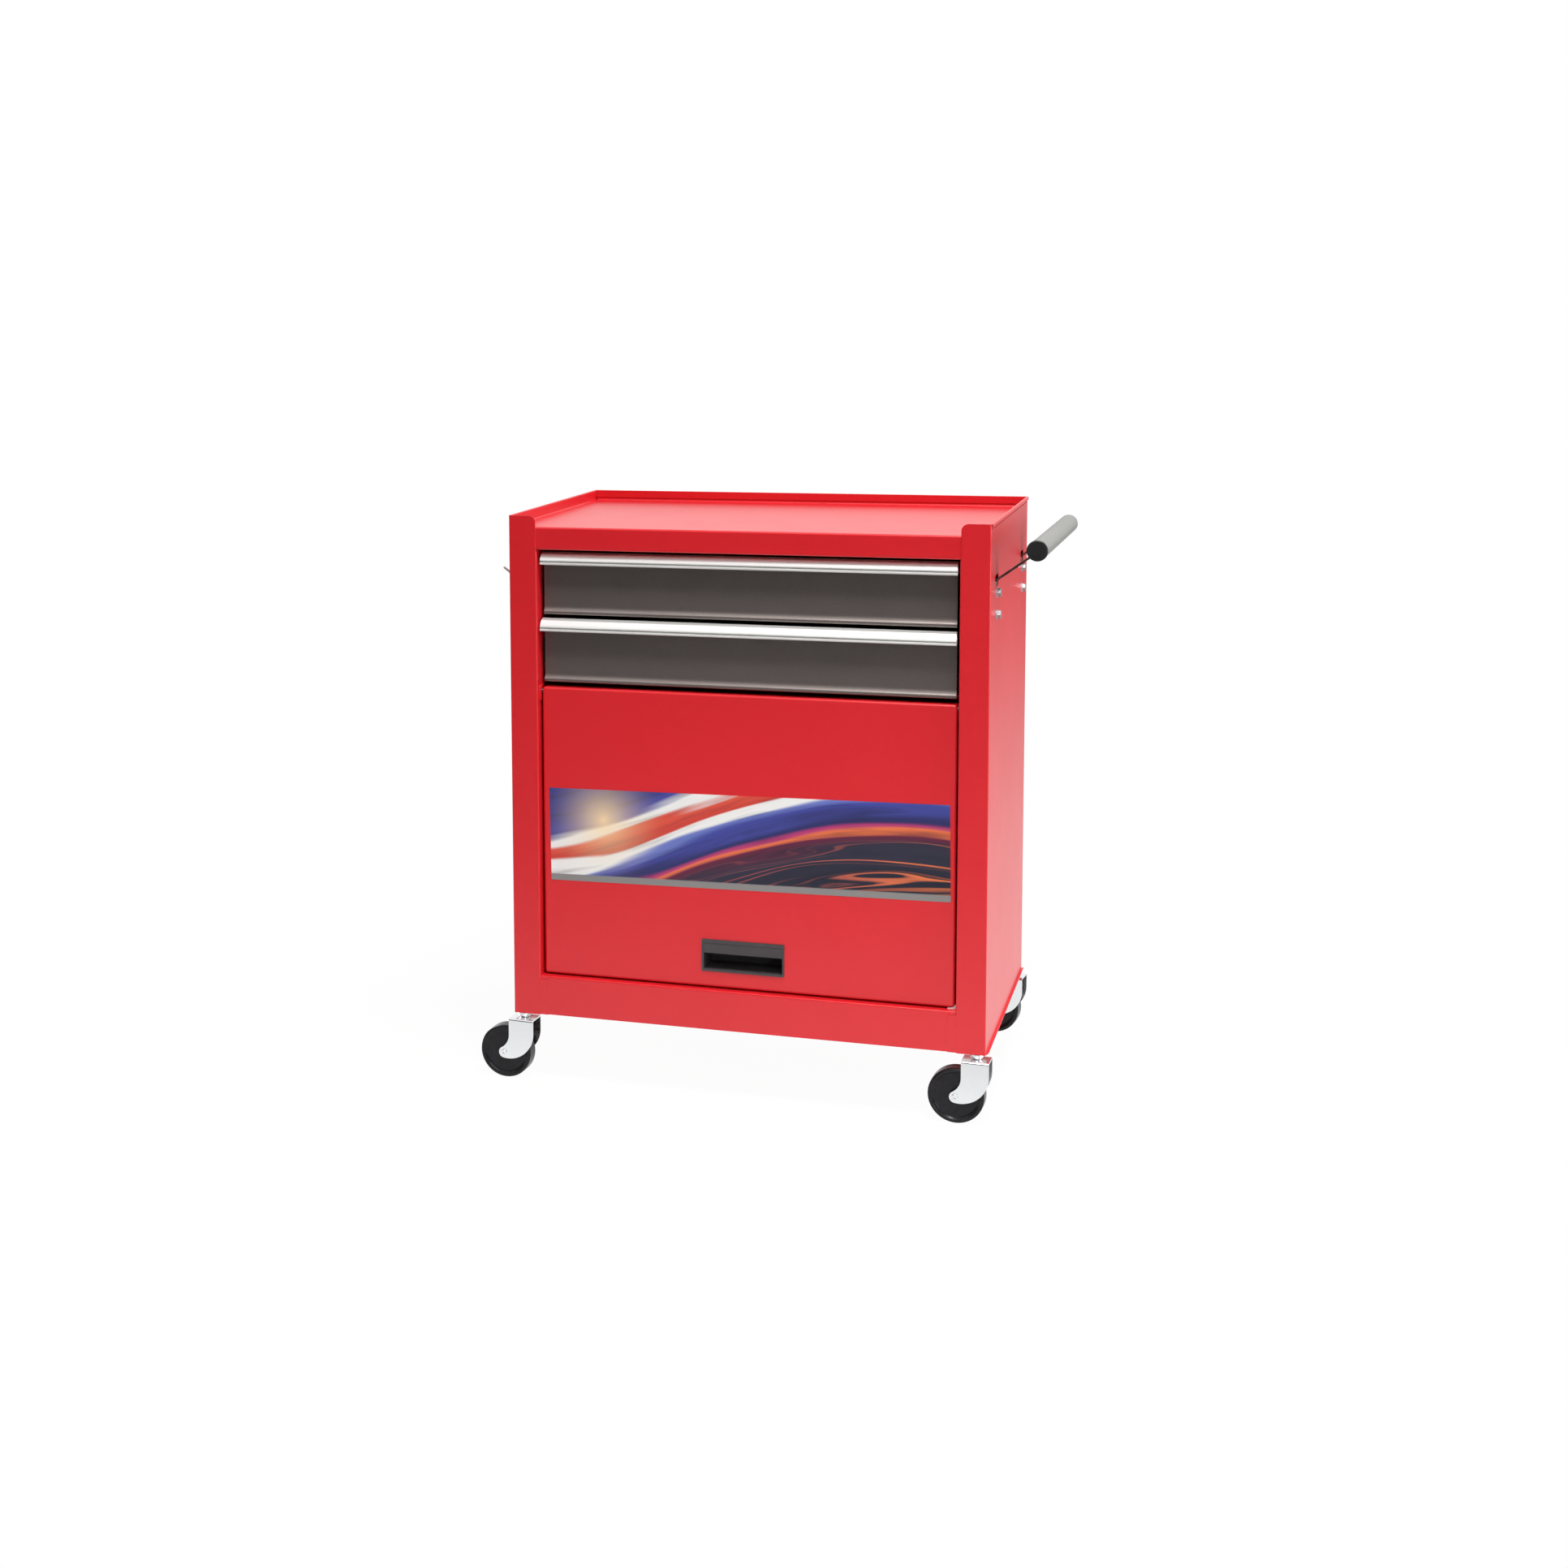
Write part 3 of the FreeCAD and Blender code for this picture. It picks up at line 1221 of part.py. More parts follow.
def build_nodes():
    """Every node's solid, in the working frame."""
    nodes = {
        "side_panel_right": side_panel(True),
        "side_panel_left": side_panel(False),
        "rear_upright_right": rear_upright(),
        "rear_upright_left": mirrored(rear_upright()),
        "back_panel": back_panel(),
        "bottom_pan": bottom_pan(),
        "front_rail": front_rail(),
        "divider_rail": divider_rail(),
        "top_tray": top_tray(),
        "hinge_bracket_right": hinge_bracket(),
        "hinge_bracket_left": mirrored(hinge_bracket()),
        "door_bumper": door_bumper(),
        "handle_arm_front": handle_arm(ARM_PLACES[0]),
        "handle_arm_rear": handle_arm(ARM_PLACES[1]),
        "handle_tube": handle_tube(),
        "handle_grip": handle_grip(),
        "grip_caps": grip_caps(),
        "handle_bolts": handle_bolts(),
        "handle_nuts": handle_nuts(),
        "side_hook": side_hook(),
        "hook_bolts": hook_bolts(),
        "panel_rivets": panel_rivets(),
        "caster_plates": caster_plates(),
        "caster_stems": caster_stems(),
        "stem_nuts": stem_nuts(),
        "door_panel": door_panel(),
        "door_pull": door_pull(),
        "door_label": door_label(),
        "door_pins": door_pins(),
    }
    for number, (face_base, face_height, bead_base, shift) in DRAWERS.items():
        name = f"drawer_{number}"
        middle = slide_middle(face_base, face_height)
        nodes[f"{name}_box"] = drawer_box(face_base, face_height)
        nodes[f"{name}_front"] = drawer_front(face_base, face_height)
        nodes[f"{name}_pull"] = drawer_pull(bead_base, shift)
        for part, shape in (
            ("outer_rail", outer_rail(middle)),
            ("inner_rail", inner_rail(middle)),
            ("cage", ball_cage(middle)),
        ):
            nodes[f"{name}_{part}_right"] = shape
            nodes[f"{name}_{part}_left"] = mirrored(shape)
    for corner, place in stem_places().items():
        nodes[f"caster_{corner}_fork"] = turned(fork_shape(), place, corner)
        nodes[f"caster_{corner}_axle"] = turned(axle_shape(), place, corner)
        nodes[f"caster_{corner}_wheel"] = turned(wheel_shape(), place, corner)
    return nodes


def main():
    """Builds every node and writes each as a STEP file, moved to the whole cabinet's frame."""
    os.makedirs("parts", exist_ok=True)
    nodes = build_nodes()
    whole = Part.makeCompound(list(nodes.values())).optimalBoundingBox(False)
    shift = V(-(whole.XMin + whole.XMax) / 2, -(whole.YMin + whole.YMax) / 2, -whole.ZMin)
    print("shift from the working frame:", shift)
    print("size:", whole.XLength, whole.YLength, whole.ZLength)
    for name, shape in nodes.items():
        placed = shape.copy()
        placed.translate(shift)
        if not placed.isValid() or not placed.Solids:
            print("check", name, placed.isValid(), len(placed.Solids))
        placed.exportStep(f"parts/{name}.step")
    print(len(nodes), "nodes")


main()
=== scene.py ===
"""Rolling tool cabinet: red sheet-metal body, two dark drawers, a lift-up door and casters.

Metres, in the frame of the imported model: +Z up, the front faces -Y, the floor is at Z 0.
Every shape is a node of that model. This script gives each node its finish, and adds a plain
studio: a floor, a backdrop, lamps and the camera.
"""

import json
import math

import bpy
from mathutils import Matrix, Vector

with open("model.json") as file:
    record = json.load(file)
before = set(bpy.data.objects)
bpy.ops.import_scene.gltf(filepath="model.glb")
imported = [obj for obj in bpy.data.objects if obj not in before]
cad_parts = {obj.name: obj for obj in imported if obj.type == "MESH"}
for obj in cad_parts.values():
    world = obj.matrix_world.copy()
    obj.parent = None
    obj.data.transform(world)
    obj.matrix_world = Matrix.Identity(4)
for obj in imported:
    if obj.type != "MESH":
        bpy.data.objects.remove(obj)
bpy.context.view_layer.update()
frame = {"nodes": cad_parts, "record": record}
NODES = frame["nodes"]

# Camera, at the place that the straight edges of the cabinet give
CAMERA_PLACE = Vector((0.644860, -3.064041, 1.038665))
CAMERA_AZIMUTH = math.radians(19.532)
CAMERA_ELEVATION = math.radians(6.523)
CAMERA_ROLL = math.radians(-0.803)
CAMERA_SENSOR_MM = 36.0
CAMERA_LENS_MM = 53.66
CAMERA_SHIFT = (0.19977, -0.14150)
CAMERA_REACH = 100.0

# Lamps: places and sizes in metres, powers in watts, spread angles in radians
LAMPS = {
    "key_lamp": {"place": (0.60, -1.15, 3.2), "aim": (0.0, -0.2, 0.5), "size": (0.6, 0.6),
                 "power": 98.0},
    "top_lamp": {"place": (0.0, 0.0, 2.5), "aim": (0.0, 0.0, 0.7), "size": (1.6, 1.6),
                 "power": 2.0},
    "front_lamp": {"place": (1.7, -2.8, 0.5), "aim": (0.0, -0.2, 0.25), "size": (0.8, 0.8),
                   "power": 0.7, "spread_angle": 0.9},
    "low_lamp": {"place": (0.3, -1.3, 0.9), "aim": (0.1, -0.75, 0.0), "size": (0.7, 0.5),
                 "power": 1.9, "spread_angle": 1.6},
    "right_lamp": {"place": (1.75, 0.1, 1.2), "aim": (0.3, 0.05, 0.85), "size": (1.7, 2.1),
                   "power": 34.0},
    "rear_lamp": {"place": (-2.3, 1.6, 1.2), "aim": (-0.2, 0.2, 0.45), "size": (1.7, 1.7),
                  "power": 38.0},
}
WORLD_STRENGTH = 0.07
BACKGROUND_STRENGTH = 1.0
WHITE = (1.0, 1.0, 1.0)
BLACK = (0.0, 0.0, 0.0)

# Floor: the glow is the part of its white that no shadow darkens, and is whole past the reach
FLOOR_SIZE = 16.0
FLOOR_COLOUR = (0.86, 0.86, 0.86)
FLOOR_ROUGHNESS = 0.9
FLOOR_GLOW = 0.965
FLOOR_GLOW_REACH = (0.45, 0.95)

# Where the white room fades in reflections, on the floor in metres and in the sky by direction
FRONT_FADE = {"floor": (-1.6, -0.3), "sky": (-0.3, 0.3), "level": 0.02}
RIGHT_FADE = {"floor": (0.4, 1.0), "sky": (0.0, 0.3), "level": 0.5}
CEILING_FADE = {"sky": (0.25, 0.6), "level": 1.0}
BACK_FADE = {"floor": (1.6, 5.0), "level": 0.40}

# Noise patterns: their roughness, and the parts of their range that a finish spreads out
NOISE_ROUGHNESS = 0.55
MIDDLE = (0.3, 0.7)
BROAD = (0.2, 0.8)
WIDE = (0.1, 0.9)

# Finishes: tones are linear colours, cells are per metre, depths are in metres
RED_COAT = {
    "tones": ((0.600, 0.0105, 0.0170), (0.655, 0.0128, 0.0198)), "tone_cells": 5.0,
    "roughness": (0.285, 0.32), "roughness_cells": 14.0, "ior": 1.56,
    "peel_cells": 1100.0, "peel_depth": 0.00003, "peel_strength": 0.25,
}
DRAWER_COAT = {
    "tones": ((0.180, 0.148, 0.137), (0.216, 0.179, 0.166)), "tone_cells": 30.0,
    "fleck": (0.30, 0.272, 0.260), "fleck_part": (0.45, 0.85),
    "roughness": (0.46, 0.38), "metallic": 0.72,
    "grain_cells": 1500.0, "grain_depth": 0.00005, "grain_strength": 0.3,
}
PULL_SILVER = {
    "tones": ((0.76, 0.75, 0.73), (0.83, 0.82, 0.80)), "roughness": (0.29, 0.35), "metallic": 0.5,
    "streak_cells": 20.0, "streak_stretch": (0.2, 12.0, 12.0),
    "streak_depth": 0.00001, "streak_strength": 0.1,
}
SLIDE_STEEL = {
    "tones": ((0.065, 0.063, 0.060), (0.120, 0.118, 0.113)), "smear_cells": 35.0,
    "roughness": (0.30, 0.46), "metallic": 1.0,
    "track_cells": 40.0, "track_stretch": (30.0, 0.6, 30.0),
    "track_depth": 0.00002, "track_strength": 0.4,
}
CASTER_ZINC = {
    "tones": ((0.80, 0.82, 0.83), (0.89, 0.90, 0.91)), "tone_cells": 70.0,
    "roughness": (0.15, 0.21), "roughness_cells": 200.0, "metallic": 1.0,
    "ripple_cells": 700.0, "ripple_depth": 0.00002, "ripple_strength": 0.2,
}
DULL_ZINC = {
    "roughness": (0.34, 0.46), "roughness_cells": 900.0, "metallic": 0.5,
    "grime_cells": 260.0, "grime_depth": 0.00003, "grime_strength": 0.3,
}
BOLT_TONES = ((0.24, 0.24, 0.25), (0.44, 0.45, 0.46))
HOOK_TONES = ((0.58, 0.59, 0.60), (0.74, 0.75, 0.76))
ARM_STEEL = {
    "tones": ((0.13, 0.115, 0.10), (0.22, 0.20, 0.18)), "roughness": (0.30, 0.48), "metallic": 1.0,
    "cloud_cells": 120.0, "cloud_depth": 0.00003, "cloud_strength": 0.3,
}
GRIP_SLEEVE = {
    "tones": ((0.185, 0.185, 0.175), (0.250, 0.250, 0.236)), "roughness": (0.42, 0.56),
    "ring_cells": 50.0, "ring_stretch": (0.5, 14.0, 0.5),
    "pore_cells": 700.0, "pore_depth": 0.0001, "pore_strength": 0.4,
}
CAP_PLASTIC = {
    "tones": ((0.010, 0.0095, 0.0105), (0.017, 0.016, 0.0175)), "tone_cells": 40.0,
    "roughness": (0.36, 0.50), "roughness_cells": 500.0,
    "grain_cells": 1400.0, "grain_depth": 0.00008, "grain_strength": 0.5,
}
DOOR_PULL_PLASTIC = {
    "tones": ((0.044, 0.038, 0.040), (0.062, 0.054, 0.057)), "tone_cells": 40.0,
    "roughness": (0.38, 0.48), "roughness_cells": 500.0,
    "grain_cells": 1400.0, "grain_depth": 0.00006, "grain_strength": 0.4,
}
WHEEL_PLASTIC = {
    "tones": ((0.0065, 0.0058, 0.0075), (0.0120, 0.0108, 0.0130)), "dust_cells": 70.0,
    "roughness": (0.22, 0.30), "roughness_cells": 900.0, "specular": 0.26,
    "grain_cells": 900.0, "grain_depth": 0.00006, "grain_strength": 0.4,
}
BUMPER_NYLON = {
    "tones": ((0.78, 0.77, 0.73), (0.86, 0.85, 0.82)), "tone_cells": 200.0,
    "roughness": (0.4, 0.5), "subsurface": 0.1,
    "grain_cells": 900.0, "grain_depth": 0.00005, "grain_strength": 0.3,
}
SHEET_GLOSS = {
    "roughness": (0.285, 0.34), "roughness_cells": 60.0,
    "grain_cells": 500.0, "grain_depth": 0.00001, "grain_strength": 0.2,
}

# Nodes that share a finish other than their slot's: duller bolts, and painted hinge brackets
BOLT_NODES = ("handle_bolts", "handle_nuts", "hook_bolts", "panel_rivets")
HINGE_NODES = ("hinge_bracket_left", "hinge_bracket_right")

# Printed sheet on the door: its middle, half its size and its turn, in metres and radians
LABEL_CENTRE = (-0.00814, 0.0, 0.3374)
LABEL_HALF = (0.26, 0.0615)
LABEL_TURN = math.radians(-0.85)

# Print, on axes that both run over the sheet's span
SHEET_SPAN = (-1.0, 1.0)
WAVE = {"pace": 2.3, "start": 0.7, "height": 0.42, "rise": 0.75}
FLOW = {"along": 0.9, "across": 2.2, "swell_cells": 1.1, "swell": 0.22}
RIBBON_SPAN = (-1.6, 1.6)
FOLD = {"cells": 2.6, "part": (0.50, 0.75), "strength": 0.45, "colour": (0.012, 0.014, 0.030)}
STREAK = {
    "along": 0.25, "across": 9.0, "cells": 1.5, "part": (0.55, 0.72), "strength": 0.85,
    "slate": (-0.45, -0.25), "colours": ((0.45, 0.03, 0.16), (0.85, 0.20, 0.05)),
}
SPOT = {
    "along": -0.72, "across": 0.35, "reach": 0.34, "strength": 0.95, "falloff": 2.0,
    "colour": (0.90, 0.66, 0.36),
}
FOOT_STRIP = {"top": -0.86, "soft_edge": 0.01, "colour": (0.22, 0.21, 0.205)}
RIBBON_STEPS = (
    (0.00, (0.016, 0.018, 0.032)),
    (0.24, (0.030, 0.028, 0.050)),
    (0.33, (0.120, 0.016, 0.045)),
    (0.37, (0.700, 0.150, 0.050)),
    (0.40, (0.420, 0.035, 0.150)),
    (0.45, (0.026, 0.028, 0.120)),
    (0.52, (0.050, 0.060, 0.300)),
    (0.57, (0.130, 0.170, 0.480)),
    (0.60, (0.760, 0.760, 0.740)),
    (0.645, (0.760, 0.750, 0.730)),
    (0.665, (0.560, 0.050, 0.035)),
    (0.75, (0.640, 0.075, 0.045)),
    (0.78, (0.740, 0.735, 0.715)),
    (0.84, (0.780, 0.775, 0.755)),
    (0.87, (0.060, 0.065, 0.300)),
    (0.96, (0.040, 0.045, 0.220)),
)


# Nodes that the finishes are made of


def shader_tree(name):
    """A material with a Principled shader, and the parts of its tree that others join to."""
    material = bpy.data.materials.new(name)
    material.use_nodes = True
    tree = material.node_tree
    tree.nodes.clear()
    output = tree.nodes.new("ShaderNodeOutputMaterial")
    shader = tree.nodes.new("ShaderNodeBsdfPrincipled")
    tree.links.new(shader.outputs["BSDF"], output.inputs["Surface"])
    place = tree.nodes.new("ShaderNodeTexCoord")
    return material, tree, shader, place.outputs["Object"]


def noise(tree, place, cells, detail=3.0, stretch=None):
    """Value of a noise pattern, 0 to 1."""
    source = place
    if stretch:
        mapping = tree.nodes.new("ShaderNodeMapping")
        mapping.inputs["Scale"].default_value = stretch
        tree.links.new(place, mapping.inputs["Vector"])
        source = mapping.outputs["Vector"]
    texture = tree.nodes.new("ShaderNodeTexNoise")
    texture.inputs["Scale"].default_value = cells
    texture.inputs["Detail"].default_value = detail
    texture.inputs["Roughness"].default_value = NOISE_ROUGHNESS
    tree.links.new(source, texture.inputs["Vector"])
    return texture.outputs["Fac"]


def spread(tree, value, low, high, part=MIDDLE, clamp=True):
    """Maps the given part of a value's range to the range low to high."""
    ramp = tree.nodes.new("ShaderNodeMapRange")
    ramp.clamp = clamp
    ramp.inputs["From Min"].default_value, ramp.inputs["From Max"].default_value = part
    ramp.inputs["To Min"].default_value = low
    ramp.inputs["To Max"].default_value = high
    tree.links.new(value, ramp.inputs["Value"])
    return ramp.outputs["Result"]


def blend(tree, value, first, second):
    """Colour that goes from first to second with value. Each of the two is a colour or a socket."""
    mix = tree.nodes.new("ShaderNodeMix")
    mix.data_type = "RGBA"
    for slot, colour in (("A", first), ("B", second)):
        if isinstance(colour, tuple):
            mix.inputs[slot].default_value = (*colour, 1.0)
        else:
            tree.links.new(colour, mix.inputs[slot])
    tree.links.new(value, mix.inputs["Factor"])
    return mix.outputs["Result"]


def arithmetic(tree, operation, first, second=0.0):
    """Arithmetic on two values. Each of the two is a number or a socket."""
    node = tree.nodes.new("ShaderNodeMath")
    node.operation = operation
    for index, value in enumerate((first, second)):
        if isinstance(value, (int, float)):
            node.inputs[index].default_value = value
        else:
            tree.links.new(value, node.inputs[index])
    return node.outputs["Value"]


def pair(tree, across, upward):
    """Vector whose X and Y are the two values."""
    node = tree.nodes.new("ShaderNodeCombineXYZ")
    tree.links.new(across, node.inputs["X"])
    tree.links.new(upward, node.inputs["Y"])
    return node.outputs["Vector"]


def axes_of(tree, vector):
    """Outputs X, Y and Z of a vector."""
    node = tree.nodes.new("ShaderNodeSeparateXYZ")
    tree.links.new(vector, node.inputs["Vector"])
    return node.outputs


def length_of(tree, vector):
    """Length of a vector."""
    node = tree.nodes.new("ShaderNodeVectorMath")
    node.operation = "LENGTH"
    tree.links.new(vector, node.inputs[0])
    return node.outputs["Value"]


def set_tone(tree, shader, value, tones):
    """Base colour that goes between two tones with value."""
    tree.links.new(blend(tree, value, *tones), shader.inputs["Base Color"])


def set_roughness(tree, shader, value, levels, part=MIDDLE, clamp=True):
    """Roughness that goes between two levels with a pattern."""
    tree.links.new(spread(tree, value, *levels, part, clamp), shader.inputs["Roughness"])


def set_relief(tree, shader, height, depth, strength):
    """Bump of the given depth that follows a pattern."""
    node = tree.nodes.new("ShaderNodeBump")
    node.inputs["Distance"].default_value = depth
    node.inputs["Strength"].default_value = strength
    tree.links.new(height, node.inputs["Height"])
    tree.links.new(node.outputs["Normal"], shader.inputs["Normal"])


# Finishes


def red_coat():
    """Red powder coat: satin gloss, fine orange peel, faint unevenness."""
    finish = RED_COAT
    material, tree, shader, place = shader_tree("red_powder_coat")
    set_tone(tree, shader, noise(tree, place, finish["tone_cells"]), finish["tones"])
    cloud = noise(tree, place, finish["roughness_cells"])
    set_roughness(tree, shader, cloud, finish["roughness"], WIDE)
    shader.inputs["IOR"].default_value = finish["ior"]
    peel = noise(tree, place, finish["peel_cells"], detail=2.0)
    set_relief(tree, shader, peel, finish["peel_depth"], finish["peel_strength"])
    return material


def drawer_coat():
    """Dark metallic powder coat with very fine paler flecks."""
    finish = DRAWER_COAT
    material, tree, shader, place = shader_tree("gunmetal_fleck_coat")
    grain = noise(tree, place, finish["grain_cells"])
    cloud = noise(tree, place, finish["tone_cells"], detail=4.0)
    ground = blend(tree, cloud, *finish["tones"])
    flecks = spread(tree, grain, 0.0, 1.0, finish["fleck_part"])
    set_tone(tree, shader, flecks, (ground, finish["fleck"]))
    set_roughness(tree, shader, grain, finish["roughness"], BROAD, clamp=False)
    shader.inputs["Metallic"].default_value = finish["metallic"]
    set_relief(tree, shader, grain, finish["grain_depth"], finish["grain_strength"])
    return material


def pull_silver():
    """Satin silver of the drawers' pull strips, very faintly brushed along their length."""
    finish = PULL_SILVER
    material, tree, shader, place = shader_tree("satin_silver")
    streak = noise(tree, place, finish["streak_cells"], detail=2.0, stretch=finish["streak_stretch"])
    set_tone(tree, shader, streak, finish["tones"])
    set_roughness(tree, shader, streak, finish["roughness"], WIDE)
    shader.inputs["Metallic"].default_value = finish["metallic"]
    set_relief(tree, shader, streak, finish["streak_depth"], finish["streak_strength"])
    return material


def slide_steel():
    """Dark rolled steel of the slides, with a little grease and rubbed tracks."""
    finish = SLIDE_STEEL
    material, tree, shader, place = shader_tree("slide_steel_rolled")
    smear = noise(tree, place, finish["smear_cells"], detail=4.0)
    set_tone(tree, shader, spread(tree, smear, 0.0, 1.0), finish["tones"])
    track = noise(tree, place, finish["track_cells"], detail=5.0, stretch=finish["track_stretch"])
    set_roughness(tree, shader, track, finish["roughness"])
    shader.inputs["Metallic"].default_value = finish["metallic"]
    set_relief(tree, shader, track, finish["track_depth"], finish["track_strength"])
    return material


def caster_zinc():
    """Bright zinc plating of the casters and the handle's tube, with a faint cloudy film."""
    finish = CASTER_ZINC
    material, tree, shader, place = shader_tree("bright_zinc")
    set_tone(tree, shader, noise(tree, place, finish["tone_cells"], detail=4.0), finish["tones"])
    film = noise(tree, place, finish["roughness_cells"])
    set_roughness(tree, shader, film, finish["roughness"], WIDE, clamp=False)
    shader.inputs["Metallic"].default_value = finish["metallic"]
    ripple = noise(tree, place, finish["ripple_cells"], detail=2.0)
    set_relief(tree, shader, ripple, finish["ripple_depth"], finish["ripple_strength"])
    return material


def dull_zinc(name, tones):
    """Duller zinc plating of the bolts or the hook, with grime in it."""
    finish = DULL_ZINC
    material, tree, shader, place = shader_tree(name)
    grime = noise(tree, place, finish["grime_cells"], detail=4.0)
    set_tone(tree, shader, spread(tree, grime, 0.0, 1.0), tones)
    set_roughness(tree, shader, noise(tree, place, finish["roughness_cells"]), finish["roughness"])
    shader.inputs["Metallic"].default_value = finish["metallic"]
    set_relief(tree, shader, grime, finish["grime_depth"], finish["grime_strength"])
    return material


def arm_steel():
    """Dull passivated steel strip of the handle's arms."""
    finish = ARM_STEEL
    material, tree, shader, place = shader_tree("dull_steel_strip")
    cloud = noise(tree, place, finish["cloud_cells"], detail=5.0)
    set_tone(tree, shader, spread(tree, cloud, 0.0, 1.0), finish["tones"])
    set_roughness(tree, shader, cloud, finish["roughness"])
    shader.inputs["Metallic"].default_value = finish["metallic"]
    set_relief(tree, shader, cloud, finish["cloud_depth"], finish["cloud_strength"])
    return material


def grip_sleeve():
    """Pale grey sleeve of the handle, with fine turning marks around it."""
    finish = GRIP_SLEEVE
    material, tree, shader, place = shader_tree("pale_grey_sleeve")
    ring = noise(tree, place, finish["ring_cells"], stretch=finish["ring_stretch"])
    set_tone(tree, shader, spread(tree, ring, 0.0, 1.0), finish["tones"])
    set_roughness(tree, shader, ring, finish["roughness"])
    pores = noise(tree, place, finish["pore_cells"])
    set_relief(tree, shader, pores, finish["pore_depth"], finish["pore_strength"])
    return material


def cap_plastic():
    """Moulded black plastic of the grip's end caps, with a fine satin grain."""
    finish = CAP_PLASTIC
    material, tree, shader, place = shader_tree("black_satin_plastic")
    cloud = noise(tree, place, finish["tone_cells"])
    set_tone(tree, shader, spread(tree, cloud, 0.0, 1.0), finish["tones"])
    set_roughness(tree, shader, noise(tree, place, finish["roughness_cells"]), finish["roughness"])
    grain = noise(tree, place, finish["grain_cells"], detail=2.0)
    set_relief(tree, shader, grain, finish["grain_depth"], finish["grain_strength"])
    return material


def door_pull_plastic():
    """Moulded charcoal plastic of the door's pull."""
    finish = DOOR_PULL_PLASTIC
    material, tree, shader, place = shader_tree("charcoal_satin_plastic")
    set_tone(tree, shader, noise(tree, place, finish["tone_cells"]), finish["tones"])
    satin = noise(tree, place, finish["roughness_cells"])
    set_roughness(tree, shader, satin, finish["roughness"], BROAD, clamp=False)
    grain = noise(tree, place, finish["grain_cells"], detail=2.0)
    set_relief(tree, shader, grain, finish["grain_depth"], finish["grain_strength"])
    return material


def wheel_plastic():
    """Hard black plastic of the wheels, satin and slightly dusty."""
    finish = WHEEL_PLASTIC
    material, tree, shader, place = shader_tree("hard_black_wheel")
    dust = noise(tree, place, finish["dust_cells"], detail=5.0)
    set_tone(tree, shader, spread(tree, dust, 0.0, 1.0), finish["tones"])
    set_roughness(tree, shader, noise(tree, place, finish["roughness_cells"]), finish["roughness"])
    shader.inputs["Specular IOR Level"].default_value = finish["specular"]
    grain = noise(tree, place, finish["grain_cells"], detail=2.0)
    set_relief(tree, shader, grain, finish["grain_depth"], finish["grain_strength"])
    return material


def bumper_nylon():
    """Natural nylon of the wedge that the closed door rests against."""
    finish = BUMPER_NYLON
    material, tree, shader, place = shader_tree("natural_nylon")
    cloud = noise(tree, place, finish["tone_cells"])
    set_tone(tree, shader, spread(tree, cloud, 0.0, 1.0), finish["tones"])
    set_roughness(tree, shader, cloud, finish["roughness"])
    shader.inputs["Subsurface Weight"].default_value = finish["subsurface"]
    grain = noise(tree, place, finish["grain_cells"])
    set_relief(tree, shader, grain, finish["grain_depth"], finish["grain_strength"])
    return material


# Printed sheet


def label_print():
    """Soft ribbons of colour between a pale field and a slate field, over a plain grey strip."""
    material, tree, shader, place = shader_tree("printed_sheet")
    along, across = label_axes(tree, place)
    offset, flow = ribbon_offset(tree, along, across)
    colour = colour_steps(tree, spread(tree, offset, 0.0, 1.0, RIBBON_SPAN), RIBBON_STEPS)
    colour = with_folds(tree, colour, flow)
    colour = with_streaks(tree, colour, along, offset)
    colour = blend(tree, soft_spot(tree, along, across), colour, SPOT["colour"])
    foot = (FOOT_STRIP["top"] - FOOT_STRIP["soft_edge"], FOOT_STRIP["top"] + FOOT_STRIP["soft_edge"])
    strip = spread(tree, across, 1.0, 0.0, foot)
    set_tone(tree, shader, strip, (colour, FOOT_STRIP["colour"]))
    gloss = noise(tree, place, SHEET_GLOSS["roughness_cells"])
    set_roughness(tree, shader, gloss, SHEET_GLOSS["roughness"], WIDE)
    grain = noise(tree, place, SHEET_GLOSS["grain_cells"])
    set_relief(tree, shader, grain, SHEET_GLOSS["grain_depth"], SHEET_GLOSS["grain_strength"])
    return material


def label_axes(tree, place):
    """Place on the sheet: -1 to 1 along its width and across its height."""
    centre = tree.nodes.new("ShaderNodeMapping")
    centre.vector_type = "TEXTURE"
    centre.inputs["Location"].default_value = LABEL_CENTRE
    centre.inputs["Rotation"].default_value = (0.0, LABEL_TURN, 0.0)
    centre.inputs["Scale"].default_value = (LABEL_HALF[0], 1.0, LABEL_HALF[1])
    tree.links.new(place, centre.inputs["Vector"])
    axes = axes_of(tree, centre.outputs["Vector"])
    return axes["X"], axes["Z"]


def ribbon_offset(tree, along, across):
    """Height over the middle ribbon, which follows one long rising wave, and the ribbons' flow."""
    turn = arithmetic(tree, "MULTIPLY", along, WAVE["pace"])
    turn = arithmetic(tree, "ADD", turn, WAVE["start"])
    wave = arithmetic(tree, "MULTIPLY", arithmetic(tree, "SINE", turn), WAVE["height"])
    rise = arithmetic(tree, "MULTIPLY", along, WAVE["rise"])
    offset = arithmetic(tree, "SUBTRACT", across, arithmetic(tree, "ADD", wave, rise))
    flow = pair(tree, arithmetic(tree, "MULTIPLY", along, FLOW["along"]),
                arithmetic(tree, "MULTIPLY", offset, FLOW["across"]))
    swell = noise(tree, flow, FLOW["swell_cells"], detail=1.0)
    swell = spread(tree, swell, -FLOW["swell"], FLOW["swell"], BROAD, clamp=False)
    return arithmetic(tree, "ADD", offset, swell), flow


